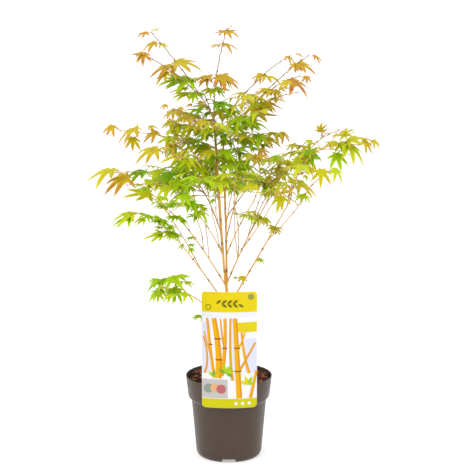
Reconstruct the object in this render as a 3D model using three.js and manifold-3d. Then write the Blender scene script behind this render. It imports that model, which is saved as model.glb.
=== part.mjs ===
// A young Japanese maple with orange bark, grown as a small shrub in a round nursery pot with a card label.
// Millimetres, +Z up. The origin is the middle of the pot's underside, and the label faces -Y.
import * as THREE from "three";
import { mergeVertices } from "three/addons/utils/BufferGeometryUtils.js";
import Module from "manifold-3d";

const wasm = await Module();
wasm.setup();

// The gap kept between two pieces that rest on each other.
const GAP = 0.35;

// The pot: a tapered wall under a wider collar, with drainage notches in its foot.
const POT = {
  height: 182,
  rimRadius: 96,
  collarHeight: 46.5,
  collarFootRadius: 90.5,
  stepHeight: 8,
  wallTopRadius: 83.5,
  wallFootRadius: 73,
  wallFootHeight: 9,
  footEdge: [
    [65.8, 0],
    [69.8, 2.2],
  ],
  wall: 2,
  floorHeight: 9,
  sides: 36,
};
const NOTCH = { count: 4, widthBelow: 33, widthAbove: 27, height: 7.5, innerRadius: 56, below: 1 };

// The potting mix: a filling with a flat top below the rim.
const SOIL = { top: 174, edgeDrop: 3, edgeWidth: 12, sideGap: 0.45 };

// The label: a bowed card in front of the rim, with a hook behind it that hangs over the rim.
const LABEL = {
  width: 119,
  middle: 1.5,
  foot: 134,
  top: 391,
  thickness: 0.9,
  standOff: 1.6,
  bowRadius: 180,
  bowSteps: 12,
  bowSpare: 1.05,
  cornerRadius: 8,
  cornerSteps: 5,
  hookWidth: 24,
  hookThickness: 0.9,
  hookClear: 3,
  hookFoot: 173,
};

// The leaf: five pointed lobes, each [turn from the midrib in degrees, share of the leaf's length].
const LOBES = [
  [-80, 0.64],
  [-39, 0.9],
  [0, 1],
  [39, 0.9],
  [80, 0.64],
];
const LEAF = {
  sinusShare: 0.43,
  baseTurn: 150,
  baseShare: 0.22,
  droop: 0.38,
  thickness: 0.024,
  tries: 24,
  shrink: 0.4,
  swing: [0.25, 1.1],
  rise: [-0.2, 0.4],
  tilt: [0.1, 0.5],
  roll: 0.3,
  stalkShare: [0.28, 0.44],
  stalkBare: 0.35,
  stalkRadius: 1.2,
};

// The room that a lobe takes, as three straight pieces from the palm to the lobe's tip.
const LOBE_ROOM = [
  { from: 0, to: 0.5, halfWidth: 0.14 },
  { from: 0.5, to: 0.75, halfWidth: 0.1 },
  { from: 0.75, to: 1, halfWidth: 0.055 },
];

// A shoot's pairs of leaves, counted back from its tip: a small young pair close under the tip and
// another soon after, then a long bare stretch on a young shoot, then pairs at an even spacing.
// Its stem is square in section, and radii are those of the round that holds the square.
const SHOOT = {
  tipGap: 3,
  youngGap: 27,
  longGap: 70,
  evenGap: 27,
  bareFoot: 16,
  youngSize: 0.5,
  sizeStep: 0.24,
  halfWidths: [1, 0.65],
  radii: [1.45, 0.95],
  rings: 4,
  nodeHeight: 2.2,
  ringRoom: 3,
  leastLean: 0.3,
  steepRise: 0.93,
  steepTurn: 1.1,
  spread: 1.15,
  firstTwig: 2,
  firstSeed: 4001,
};

// A side twig: its length, its turn and rise, and its leaves, turned from the twig's heading.
const TWIG = {
  reach: [44, 64],
  swing: 0.35,
  rise: [-0.05, 0.35],
  radii: [1.1, 1],
  halfWidths: [0.75, 0.65],
  bareShare: 0.12,
  leafAt: 0.95,
  turns: [-0.75, 0.85],
};

// The trunk stands on the soil and flares at its foot.
const TRUNK = {
  foot: [3, 6, SOIL.top + GAP],
  tip: [-6, 0, 390],
  bow: [2, -2, 0],
  radii: [6.4, 4.5],
  sides: 12,
  steps: 14,
};
const FLARE = { height: 26, extra: 3.6 };

// The limbs: name, start, tip, bow and the radii at the two ends. A start is a point, or a parent and a
// share of the parent's length, and bow is how far the middle stands off the straight line to the tip.
const LIMB = { sides: 6, steps: 5 };
const LIMBS = [
  ["leader_left", [-8.7, -0.8, 388], [-31, 0, 749], [-0.6, 0, 0], [2.4, 1.6]],
  ["leader_right", [-3.1, 0.8, 388], [-14, 17, 745], [0.4, 3, 0], [2.5, 1.6]],
  ["bough_top_left", ["leader_left", 1], [-60, 0, 801], [0, 0, 2], [1.4, 1.2]],
  ["bough_top_right", ["leader_right", 0.96], [57, 2, 786], [0, 0, -5], [1.4, 1.2]],
  ["bough_left_low", ["trunk", 0.96], [-95, -40, 527], [0, 0, 5], [1.7, 1.2]],
  ["bough_left_fork", ["bough_left_low", 0.56], [-70, -8, 534], [4, 0, 0], [1.2, 1]],
  ["bough_right_low", ["trunk", 0.98], [83, -20, 573], [-2, 0, 4], [1.8, 1.2]],
  ["bough_right_up", ["bough_right_low", 0.3], [11, -60, 577], [6, 6, 0], [1.3, 1]],
  ["bough_right_front", ["bough_right_low", 0.42], [95, -60, 579], [2, -4, 0], [1.3, 1]],
  ["bough_left_front", ["leader_left", 0.18], [-57, -90, 548], [0, -2, 6], [1.4, 1.1]],
  ["bough_right_mid", ["leader_right", 0.18], [53, -90, 585], [-2, -2, 4], [1.5, 1.1]],
  ["bough_back_right", ["leader_right", 0.27], [19, 70, 574], [0, 2, 4], [1.3, 1.1]],
  ["bough_left_back", ["leader_left", 0.3], [-74, 80, 609], [4, 0, 6], [1.5, 1.1]],
  ["bough_back", ["leader_right", 0.08], [-8, 120, 564], [0, 8, 8], [1.4, 1.1]],
  ["stem_left", ["trunk", 0.73], [-99, -80, 488], [0, 2, 4], [1.9, 1.2]],
  ["stem_left_fork", ["stem_left", 0.58], [-128, -10, 541], [0, 0, 3], [1.2, 1]],
  ["stem_right", ["trunk", 0.74], [132, -30, 577], [4, -4, 6], [2, 1.2]],
  ["stem_right_fork", ["stem_right", 0.62], [155, -80, 584], [2, 0, -2], [1.3, 1]],
  ["stem_low_left", ["trunk", 0.45], [-92, -66, 382], [0, 0, 14], [1.5, 1.1]],
];

// The masses of foliage, each one leafy shoot: name, start, tip, bow, pairs of leaves, length of a full
// leaf, the share of older leaves that are side twigs instead, and warmth, which runs from 0, full
// green, to 1, orange young growth on a long bare shoot.
const FOLIAGE = [
  ["top_centre", ["leader_left", 1], [-6, 0, 939], [-9, 0, 0], 5, 54, 0, 0.8],
  ["top_left", ["bough_top_left", 1], [-163, -20, 935], [0, 0, 5], 6, 52, 0, 0.5],
  ["top_left_side", ["bough_top_left", 0.96], [-163, -66, 887], [0, 0, 8], 5, 50, 0.3, 0.2],
  ["top_right_high", ["leader_right", 1], [134, 60, 884], [0, 0, 14], 5, 49, 0, 0.5],
  ["top_right", ["bough_top_right", 1], [172, -10, 888], [0, 0, 6], 5, 48, 0, 0.4],
  ["top_right_side", ["bough_top_right", 0.9], [150, -60, 846], [0, 0, 10], 5, 46, 0.3, 0.3],
  ["upper_left", ["leader_left", 0.92], [-118, -60, 779], [0, 0, 2], 6, 44, 0.5, 0.2],
  ["left_high", ["leader_left", 0.8], [-240, 40, 722], [0, 0, 10], 8, 46, 0.5, 0.3],
  ["left_mid", ["leader_left", 0.66], [-164, -90, 696], [0, 0, 8], 6, 51, 0.5, 0.3],
  ["left_wide", ["bough_left_back", 1], [-252, 50, 628], [0, 0, 8], 6, 60, 0.5, 0],
  ["left_wide_low", ["bough_left_back", 0.85], [-218, -60, 616], [0, 0, 4], 5, 56, 0.5, 0.1],
  ["left_front", ["bough_left_front", 1], [-104, -150, 605], [0, 0, 4], 4, 51, 0.5, 0.1],
  ["left_low", ["bough_left_low", 1], [-146, -60, 571], [0, 0, 4], 4, 49, 0.3, 0.1],
  ["left_inner", ["bough_left_fork", 1], [-76, -40, 604], [0, 0, 0], 4, 46, 0.3, 0.1],
  ["left_chain", ["stem_left", 1], [-212, -100, 564], [0, 0, 18], 7, 46, 0.2, 0],
  ["left_shelf", ["stem_left_fork", 1], [-169, 30, 575], [0, 0, 4], 4, 49, 0.3, 0.1],
  ["low_left", ["stem_low_left", 1], [-128, -106, 424], [0, 0, 8], 3, 54, 0, 0],
  ["right_reach", ["stem_right", 1], [278, -70, 702], [-26, 0, 40], 8, 50, 0.5, 0.1],
  ["right_crest", ["stem_right", 0.96], [242, 20, 726], [-20, 10, 24], 8, 50, 0.5, 0.1],
  ["right_reach_low", ["stem_right_fork", 1], [214, -126, 656], [-4, 0, 8], 6, 50, 0.5, 0.1],
  ["right_inner", ["bough_right_low", 1], [117, 40, 644], [0, 0, 6], 5, 51, 0.5, 0.3],
  ["right_front", ["bough_right_front", 1], [128, -120, 622], [0, 0, 6], 5, 51, 0.5, 0.3],
  ["centre_front", ["bough_right_up", 1], [16, -150, 654], [0, 0, 6], 5, 53, 0.5, 0.2],
  ["right_mid_front", ["bough_right_mid", 1], [69, -160, 632], [0, 0, 4], 4, 51, 0.5, 0.2],
  ["back_right", ["bough_back_right", 1], [76, 170, 659], [0, 0, 10], 5, 53, 0.5, 0.2],
  ["centre_right", ["leader_right", 0.86], [92, 40, 716], [0, 0, 6], 5, 44, 0.3, 0.6],
  ["centre_high_left", ["leader_left", 0.97], [-58, 44, 810], [0, 0, 6], 5, 50, 0.3, 0],
  ["centre_high_right", ["leader_right", 0.94], [76, -50, 768], [0, 0, 6], 5, 50, 0.4, 0],
  ["centre_right_low", ["leader_right", 0.7], [58, -60, 674], [0, 0, 4], 4, 49, 0.3, 0.4],
  ["right_sprig", ["bough_right_up", 0.45], [83, -116, 548], [0, 0, 8], 3, 39, 0, 0.1],
  ["back_left", ["leader_left", 0.5], [-91, 210, 661], [0, 0, 16], 6, 53, 0.5, 0.2],
  ["back_low", ["bough_back", 1], [-10, 225, 632], [0, 0, 8], 5, 53, 0.5, 0.2],
  ["back_high", ["leader_right", 0.85], [25, 160, 789], [0, 0, 12], 5, 49, 0.3, 0.5],
  ["back_wide_right", ["leader_right", 0.4], [140, 180, 659], [0, 0, 20], 6, 53, 0.5, 0.2],
  ["back_wide_left", ["bough_left_back", 0.7], [-183, 190, 626], [0, 0, 12], 5, 53, 0.5, 0.2],
  ["front_left", ["leader_left", 0.55], [-57, -180, 644], [0, 0, 12], 5, 53, 0.5, 0.2],
  ["front_high", ["leader_left", 0.85], [-30, -120, 752], [0, 0, 8], 5, 49, 0.3, 0.3],
];

const UP = new THREE.Vector3(0, 0, 1);
const SMALL = 1e-9;

const point = ([x, y, z]) => new THREE.Vector3(x, y, z);

// Repeatable draws: the same seed always gives the same numbers.
function draws(seed) {
  let state = seed;
  return (low, high) => {
    state = (state * 16807) % 2147483647;
    return low + ((high - low) * state) / 2147483647;
  };
}

// A geometry as a solid, with its seams merged and its empty triangles left out.
function solid(geometry) {
  const bare = new THREE.BufferGeometry().setAttribute("position", geometry.getAttribute("position"));
  if (geometry.index) bare.setIndex(geometry.index);
  const merged = mergeVertices(bare, 1e-4);
  const corners = [];
  const { array } = merged.index;
  for (let i = 0; i < array.length; i += 3) {
    const [a, b, c] = array.slice(i, i + 3);
    if (a !== b && b !== c && c !== a) corners.push(a, b, c);
  }
  return new wasm.Manifold(
    new wasm.Mesh({
      numProp: 3,
      vertProperties: new Float32Array(merged.attributes.position.array),
      triVerts: new Uint32Array(corners),
    }),
  );
}

// The largest body of a solid, so that a scrap left by a cut is dropped.
function largest(shape) {
  return shape.decompose().reduce((a, b) => (b.volume() > a.volume() ? b : a));
}

// Cuts a solid clear of its neighbours and keeps its largest body.
function clearOf(shape, neighbours) {
  return largest(neighbours.reduce((rest, { grown }) => rest.subtract(grown), shape));
}

// A solid as a named mesh.
function meshOf(name, shape, material) {
  const { vertProperties, triVerts } = shape.getMesh();
  const geometry = new THREE.BufferGeometry()
    .setAttribute("position", new THREE.BufferAttribute(new Float32Array(vertProperties), 3))
    .setIndex(new THREE.BufferAttribute(new Uint32Array(triVerts), 1));
  geometry.computeVertexNormals();
  const mesh = new THREE.Mesh(geometry, material);
  mesh.name = name;
  return mesh;
}

// The quadratic curve of a limb or shoot.
function curveBetween(start, tip, bow) {
  const middle = start.clone().lerp(tip, 0.5).addScaledVector(point(bow), 2);
  return new THREE.QuadraticBezierCurve3(start, middle, tip);
}

// A tapering round rod bent along a curve. widen adds to its radius, and lengthen to each end.
function rod(curve, radiusAt, sides, steps, widen = 0, lengthen = 0) {
  const geometry = new THREE.CylinderGeometry(1, 1, 1, sides, steps);
  const place = geometry.getAttribute("position");
  for (let i = 0; i < place.count; i++) {
    const share = place.getY(i) + 0.5;
    const along = curve.getTangent(share);
    const side = new THREE.Vector3(0, 1, 0.01).cross(along).normalize();
    const other = along.clone().cross(side);
    const radius = radiusAt(share) + widen;
    const at = curve
      .getPoint(share)
      .addScaledVector(side, place.getZ(i) * radius)
      .addScaledVector(other, place.getX(i) * radius);
    if (share < SMALL) at.addScaledVector(along, -lengthen);
    if (share > 1 - SMALL) at.addScaledVector(along, lengthen);
    place.setXYZ(i, at.x, at.y, at.z);
  }
  return solid(geometry);
}

const tapering = ([foot, tip]) => (share) => foot + (tip - foot) * share;

// The limbs in order, each with its curve, its solid and that solid grown by the gap, for cutting.
const limbs = new Map();

function trunkRadius(share) {
  const height = share * (TRUNK.tip[2] - TRUNK.foot[2]);
  const flare = Math.max(0, 1 - height / FLARE.height);
  return tapering(TRUNK.radii)(share) + FLARE.extra * flare * flare;
}

function addLimb(name, curve, radiusAt, sides, steps) {
  const bare = rod(curve, radiusAt, sides, steps);
  const grown = rod(curve, radiusAt, sides, steps, GAP, GAP);
  limbs.set(name, { curve, radiusAt, solid: clearOf(bare, [...limbs.values()]), grown });
}

function startOf(start) {
  const [parent, share] = start;
  return limbs.has(parent) ? limbs.get(parent).curve.getPoint(share) : point(start);
}

// The trunk is cut level at the soil.
const trunkCurve = curveBetween(point(TRUNK.foot), point(TRUNK.tip), TRUNK.bow);
addLimb("trunk", trunkCurve, trunkRadius, TRUNK.sides, TRUNK.steps);
const trunk = limbs.get("trunk");
const block = new THREE.BoxGeometry(SOIL.top, SOIL.top, SOIL.top);
trunk.solid = trunk.solid.subtract(solid(block.translate(0, 0, TRUNK.foot[2] - SOIL.top / 2)));
for (const [name, start, tip, bow, radii] of LIMBS) {
  addLimb(name, curveBetween(startOf(start), point(tip), bow), tapering(radii), LIMB.sides, LIMB.steps);
}

// Closest distance between two straight pieces, each given by its two ends.
function distanceBetween(a, b, c, d) {
  const u = b.clone().sub(a);
  const v = d.clone().sub(c);
  const w = a.clone().sub(c);
  const uu = u.dot(u);
  const uv = u.dot(v);
  const vv = v.dot(v);
  const uw = u.dot(w);
  const vw = v.dot(w);
  const clamp = THREE.MathUtils.clamp;
  const spread = uu * vv - uv * uv;
  const first = spread > SMALL ? clamp((uv * vw - vv * uw) / spread, 0, 1) : 0;
  const t = clamp((uv * first + vw) / vv, 0, 1);
  const s = clamp((uv * t - uw) / uu, 0, 1);
  return w.addScaledVector(u, s).addScaledVector(v, -t).length();
}

// What is already in place, as straight round pieces.
const taken = [];

function withReach({ a, b, r }) {
  return { a, b, r, middle: a.clone().lerp(b, 0.5), reach: a.distanceTo(b) / 2 + r };
}

function take(pieces) {
  for (const piece of pieces) taken.push(withReach(piece));
}

// Whether any of the pieces comes within the gap of something in place.
function touches(pieces) {
  return pieces.map(withReach).some((piece) =>
    taken.some(
      (other) =>
        piece.middle.distanceTo(other.middle) < piece.reach + other.reach + GAP &&
        distanceBetween(piece.a, piece.b, other.a, other.b) < piece.r + other.r + GAP,
    ),
  );
}

function piecesAlong(curve, radiusAt, count, first = 0) {
  const shareAt = (i) => first + ((1 - first) * i) / count;
  return Array.from({ length: count }, (_, i) => ({
    a: curve.getPoint(shareAt(i)),
    b: curve.getPoint(shareAt(i + 1)),
    r: radiusAt(shareAt(i)),
  }));
}

for (const { curve, radiusAt } of limbs.values()) take(piecesAlong(curve, radiusAt, LIMB.steps));

// A place on a stem that bears leaves or twigs on the four sides of the stem.
function nodeAt(stem, share) {
  const along = stem.curve.getTangent(share);
  const side = stem.across.clone().cross(along).normalize();
  const other = along.clone().cross(side);
  const faces = [side, other, side.clone().negate(), other.clone().negate()];
  return { share, at: stem.curve.getPoint(share), faces, borne: [] };
}

// The free side of a node that best faces the given way, or -1.
function freeFace(node, way) {
  const isFree = (j) => node.borne.every(({ face }) => face !== j);
  const leans = node.faces.map((normal, j) => (isFree(j) ? normal.dot(way) : 0));
  const most = Math.max(...leans);
  return most > SHOOT.leastLean ? leans.indexOf(most) : -1;
}

// The direction with a heading round the upright axis and a rise above level.
function wayOf(heading, rise) {
  const level = new THREE.Vector3(Math.cos(heading), Math.sin(heading), 0);
  return level.multiplyScalar(Math.cos(rise)).addScaledVector(UP, Math.sin(rise));
}

// A leaf's frame: the middle of its palm, its midrib, side and upward directions.
function leafFrame(node, heading, rise, stalk, length, tilt, roll) {
  const way = wayOf(heading, rise);
  const palm = node.at.clone().addScaledVector(way, stalk);
  const out = wayOf(heading, -tilt);
  const side = UP.clone().cross(wayOf(heading, 0)).applyAxisAngle(out, roll);
  return { foot: node.at, way, palm, out, side, up: out.clone().cross(side), length };
}

// A point of the blade at a turn from the midrib and a share of the length; the blade droops outward.
function bladePoint({ palm, out, side, up, length }, turn, share) {
  const angle = THREE.MathUtils.degToRad(turn);
  return palm
    .clone()
    .addScaledVector(out, Math.cos(angle) * share * length)
    .addScaledVector(side, Math.sin(angle) * share * length)
    .addScaledVector(up, -LEAF.droop * share * share * length);
}

// The straight pieces that stand for a leaf when its room is tested.
function leafPieces(leaf) {
  const lobes = LOBES.flatMap(([turn, share]) => {
    const tip = bladePoint(leaf, turn, share);
    return LOBE_ROOM.map(({ from, to, halfWidth }) => ({
      a: leaf.palm.clone().lerp(tip, from),
      b: leaf.palm.clone().lerp(tip, to),
      r: halfWidth * leaf.length,
    }));
  });
  const base = leaf.palm.clone().addScaledVector(leaf.out, -LEAF.baseShare * leaf.length);
  return [
    ...lobes,
    { a: leaf.palm, b: base, r: LOBE_ROOM[0].halfWidth * leaf.length },
    { a: leaf.palm, b: leaf.foot.clone().lerp(leaf.palm, LEAF.stalkBare), r: LEAF.stalkRadius },
  ];
}

// Tries a leaf at a node until it finds room, each time a little smaller, and gives up after a number
// of tries.
function placeLeaf(node, draw, heading, length) {
  for (let i = 0; i < LEAF.tries; i++) {
    const swing = LEAF.swing[0] + (LEAF.swing[1] - LEAF.swing[0]) * (i / LEAF.tries);
    const size = length * (1 - LEAF.shrink * (i / LEAF.tries));
    const leaf = leafFrame(
      node,
      heading + draw(-swing, swing),
      draw(...LEAF.rise),
      size * draw(...LEAF.stalkShare),
      size,
      draw(...LEAF.tilt),
      draw(-LEAF.roll, LEAF.roll),
    );
    const face = freeFace(node, leaf.way);
    const pieces = leafPieces(leaf);
    if (face < 0 || touches(pieces)) continue;
    take(pieces);
    node.borne.push({ face, leaf });
    return;
  }
}

// A side twig with leaves at its end, or a single leaf where there is no room for it.
function placeTwig(node, draw, heading, length) {
  const turned = heading + draw(-TWIG.swing, TWIG.swing);
  const rise = draw(...TWIG.rise);
  const reach = draw(...TWIG.reach);
  const way = wayOf(turned, rise);
  const curve = curveBetween(node.at, node.at.clone().addScaledVector(way, reach), [0, 0, 0]);
  const face = freeFace(node, way);
  const pieces = piecesAlong(curve, tapering(TWIG.radii), 1, TWIG.bareShare);
  if (face < 0 || touches(pieces)) {
    placeLeaf(node, draw, heading, length);
    return;
  }
  take(pieces);
  const twig = { curve, across: UP, halfAt: tapering(TWIG.halfWidths), rings: 0 };
  twig.nodes = [nodeAt(twig, TWIG.leafAt)];
  node.borne.push({ face, twig });
  for (const turn of TWIG.turns) placeLeaf(twig.nodes[0], draw, turned + turn, length);
}

// The shares of a shoot's length at which its pairs of leaves stand, from the tip back.
function pairShares({ pairs, warmth }, length) {
  const shares = [];
  let back = SHOOT.tipGap;
  for (let i = 0; i < pairs && back < length - SHOOT.bareFoot; i++) {
    shares.push(1 - back / length);
    if (i === 0) back += SHOOT.youngGap;
    else if (i === 1) back += SHOOT.evenGap + (SHOOT.longGap - SHOOT.evenGap) * warmth;
    else back += SHOOT.evenGap;
  }
  return shares;
}

// Fills a shoot's nodes with leaves and twigs.
function placeFoliage(stem, seed) {
  const { curve, steep, leaf, twiggy, warmth } = stem;
  const draw = draws(seed);
  const chord = curve.getPoint(1).sub(curve.getPoint(0));
  const forward = Math.atan2(chord.y, chord.x);
  const youngSize = 1 - (1 - SHOOT.youngSize) * warmth;
  pairShares(stem, curve.getLength()).forEach((share, i) => {
    const node = nodeAt(stem, share);
    const size = leaf * Math.min(1, youngSize + SHOOT.sizeStep * i);
    for (const hand of [-1, 1]) {
      const turn = steep ? Math.PI / 2 + SHOOT.steepTurn * (i % 2) : SHOOT.spread;
      const heading = (steep ? 0 : forward) + hand * turn;
      const branches = i >= SHOOT.firstTwig && draw(0, 1) < twiggy;
      (branches ? placeTwig : placeLeaf)(node, draw, heading, size);
    }
    stem.nodes.unshift(node);
  });
}

// The stems go first, so that every leaf keeps clear of all of them.
const stems = FOLIAGE.map(([name, start, tip, bow, pairs, leaf, twiggy, warmth]) => {
  const curve = curveBetween(startOf(start), point(tip), bow);
  const chord = curve.getPoint(1).sub(curve.getPoint(0)).normalize();
  const steep = chord.z > SHOOT.steepRise;
  const across = steep ? new THREE.Vector3(0, 1, 0) : UP;
  const stem = { name: `foliage_${name}`, curve, steep, across, pairs, leaf, twiggy, warmth, nodes: [] };
  stem.halfAt = tapering(SHOOT.halfWidths);
  stem.rings = SHOOT.rings;
  take(piecesAlong(curve, tapering(SHOOT.radii), SHOOT.rings));
  return stem;
});
stems.forEach((stem, i) => placeFoliage(stem, SHOOT.firstSeed + i));

// Adds a leaf to a mesh on the four corners of a side of its stem: two fans of triangles that meet
// along the outline of the lobes, carried on into the stalk.
function addLeaf(mesh, corners, leaf) {
  const outline = [];
  const add = (turn, share) => outline.push(mesh.places.push(bladePoint(leaf, turn, share)) - 1);
  add(-LEAF.baseTurn, LEAF.baseShare);
  LOBES.forEach(([turn, share], i) => {
    add(turn, share);
    if (i < LOBES.length - 1) add((turn + LOBES[i + 1][0]) / 2, LEAF.sinusShare);
  });
  add(LEAF.baseTurn, LEAF.baseShare);
  const half = (LEAF.thickness * leaf.length) / 2;
  const top = mesh.places.push(leaf.palm.clone().addScaledVector(leaf.up, half)) - 1;
  const below = mesh.places.push(leaf.palm.clone().addScaledVector(leaf.up, -half)) - 1;
  const level = [leaf.side, leaf.side, leaf.side.clone().negate(), leaf.side.clone().negate()];
  const wanted = level.map((side, k) => side.clone().addScaledVector(leaf.up, k === 1 || k === 2 ? 1 : -1));
  const [leftLow, leftHigh, rightHigh, rightLow] = turnedToFit(mesh, corners, wanted);
  const right = outline[0];
  const left = outline[outline.length - 1];
  for (let i = 0; i + 1 < outline.length; i++) {
    mesh.faces.push(top, outline[i], outline[i + 1], below, outline[i + 1], outline[i]);
  }
  mesh.faces.push(top, left, leftHigh, top, leftHigh, rightHigh, top, rightHigh, right);
  mesh.faces.push(below, leftLow, left, below, rightLow, leftLow, below, right, rightLow);
  mesh.faces.push(leftHigh, left, leftLow, rightHigh, rightLow, right);
}

// Four corners in the same order, begun at the one that suits the wanted directions best.
function turnedToFit(mesh, corners, wanted) {
  const places = corners.map((corner) => mesh.places[corner]);
  const centre = places.reduce((sum, at) => sum.clone().add(at)).multiplyScalar(1 / corners.length);
  const from = (list, first) => list.map((_, k) => list[(first + k) % list.length]);
  const fitOf = (list) => list.reduce((sum, at, k) => sum + at.clone().sub(centre).dot(wanted[k]), 0);
  const fits = places.map((_, first) => fitOf(from(places, first)));
  return from(corners, fits.indexOf(Math.max(...fits)));
}

// The directions of a ring's four corners at a share of a stem.
function cornerWays(stem, share) {
  const { faces } = nodeAt(stem, share);
  return faces.map((normal, k) => normal.clone().add(faces[(k + 3) % faces.length]));
}

function addRing(mesh, stem, share) {
  const at = stem.curve.getPoint(share);
  const half = stem.halfAt(share);
  return cornerWays(stem, share).map((way) => mesh.places.push(at.clone().addScaledVector(way, half)) - 1);
}

// Adds a square stem to a mesh, from a first ring of corners to its tip, with what its nodes bear.
function addStem(mesh, corners, stem) {
  const length = stem.curve.getLength();
  const halfGap = SHOOT.nodeHeight / 2 / length;
  const cuts = [{ share: 1 }];
  for (const node of stem.nodes) {
    cuts.push({ share: node.share - halfGap }, { share: node.share + halfGap, node });
  }
  for (let i = 1; i < stem.rings; i++) {
    const share = i / stem.rings;
    const isClear = stem.nodes.every((node) => Math.abs(node.share - share) > SHOOT.ringRoom * halfGap);
    if (isClear) cuts.push({ share });
  }
  cuts.sort((a, b) => a.share - b.share);
  let last = turnedToFit(mesh, corners, cornerWays(stem, cuts[0].share));
  for (const { share, node } of cuts) {
    const next = addRing(mesh, stem, share);
    last.forEach((corner, j) => {
      const k = (j + 1) % last.length;
      const quad = [corner, last[k], next[k], next[j]];
      const item = node?.borne.find(({ face }) => face === j);
      if (item?.leaf) addLeaf(mesh, quad, item.leaf);
      else if (item?.twig) addStem(mesh, quad, item.twig);
      else mesh.faces.push(quad[0], quad[1], quad[2], quad[0], quad[2], quad[3]);
    });
    last = next;
  }
  mesh.faces.push(last[0], last[1], last[2], last[0], last[2], last[3]);
}

// One mass: a stem with all that it bears as one closed body.
function foliageSolid(stem) {
  const mesh = { places: [], faces: [] };
  const foot = addRing(mesh, stem, 0);
  mesh.faces.push(foot[2], foot[1], foot[0], foot[3], foot[2], foot[0]);
  addStem(mesh, foot, stem);
  return solid(new THREE.BufferGeometry().setFromPoints(mesh.places).setIndex(mesh.faces));
}

// The pot, turned from its profile, with the drainage notches cut in its foot.
function potSolid() {
  const stepTop = POT.height - POT.collarHeight;
  const stepFoot = stepTop - POT.stepHeight;
  const outside = [
    [0, 0],
    ...POT.footEdge,
    [POT.wallFootRadius, POT.wallFootHeight],
    [POT.wallTopRadius, stepFoot],
    [POT.collarFootRadius, stepTop],
    [POT.rimRadius, POT.height],
  ];
  const inside = [POT.height, stepTop, stepFoot, POT.floorHeight].map((z) => [insideRadius(z), z]);
  const profile = [...outside, ...inside, [0, POT.floorHeight]].map(([r, z]) => new THREE.Vector2(r, z));
  const turned = solid(new THREE.LatheGeometry(profile, POT.sides).rotateX(Math.PI / 2));
  const face = new THREE.Shape([
    new THREE.Vector2(-NOTCH.widthBelow / 2, -NOTCH.below),
    new THREE.Vector2(NOTCH.widthBelow / 2, -NOTCH.below),
    new THREE.Vector2(NOTCH.widthAbove / 2, NOTCH.height),
    new THREE.Vector2(-NOTCH.widthAbove / 2, NOTCH.height),
  ]);
  const notch = new THREE.ExtrudeGeometry(face, { depth: POT.wallFootRadius, bevelEnabled: false });
  notch.translate(0, 0, NOTCH.innerRadius).rotateX(Math.PI / 2);
  const turns = Array.from({ length: NOTCH.count }, (_, i) => (i * 2 * Math.PI) / NOTCH.count);
  return turns.reduce((pot, turn) => pot.subtract(solid(notch.clone().rotateZ(turn))), turned);
}

// The inside radius of the pot at a height above its floor.
function insideRadius(height) {
  const stepTop = POT.height - POT.collarHeight;
  const stepFoot = stepTop - POT.stepHeight;
  const inner = (low, high, from, to) => from + ((to - from) * (height - low)) / (high - low) - POT.wall;
  if (height >= stepTop) return inner(stepTop, POT.height, POT.collarFootRadius, POT.rimRadius);
  if (height >= stepFoot) return inner(stepFoot, stepTop, POT.wallTopRadius, POT.collarFootRadius);
  return inner(POT.floorHeight, stepFoot, POT.wallFootRadius, POT.wallTopRadius);
}

function soilSolid() {
  const foot = POT.floorHeight + GAP;
  const stepTop = POT.height - POT.collarHeight;
  const edge = SOIL.top - SOIL.edgeDrop;
  const heights = [foot, stepTop - POT.stepHeight, stepTop, edge];
  const wall = heights.map((z) => new THREE.Vector2(insideRadius(z) - SOIL.sideGap, z));
  const profile = [
    new THREE.Vector2(0, foot),
    ...wall,
    new THREE.Vector2(insideRadius(edge) - SOIL.edgeWidth, SOIL.top),
    new THREE.Vector2(0, SOIL.top),
  ];
  return solid(new THREE.LatheGeometry(profile, POT.sides).rotateX(Math.PI / 2));
}

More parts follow.
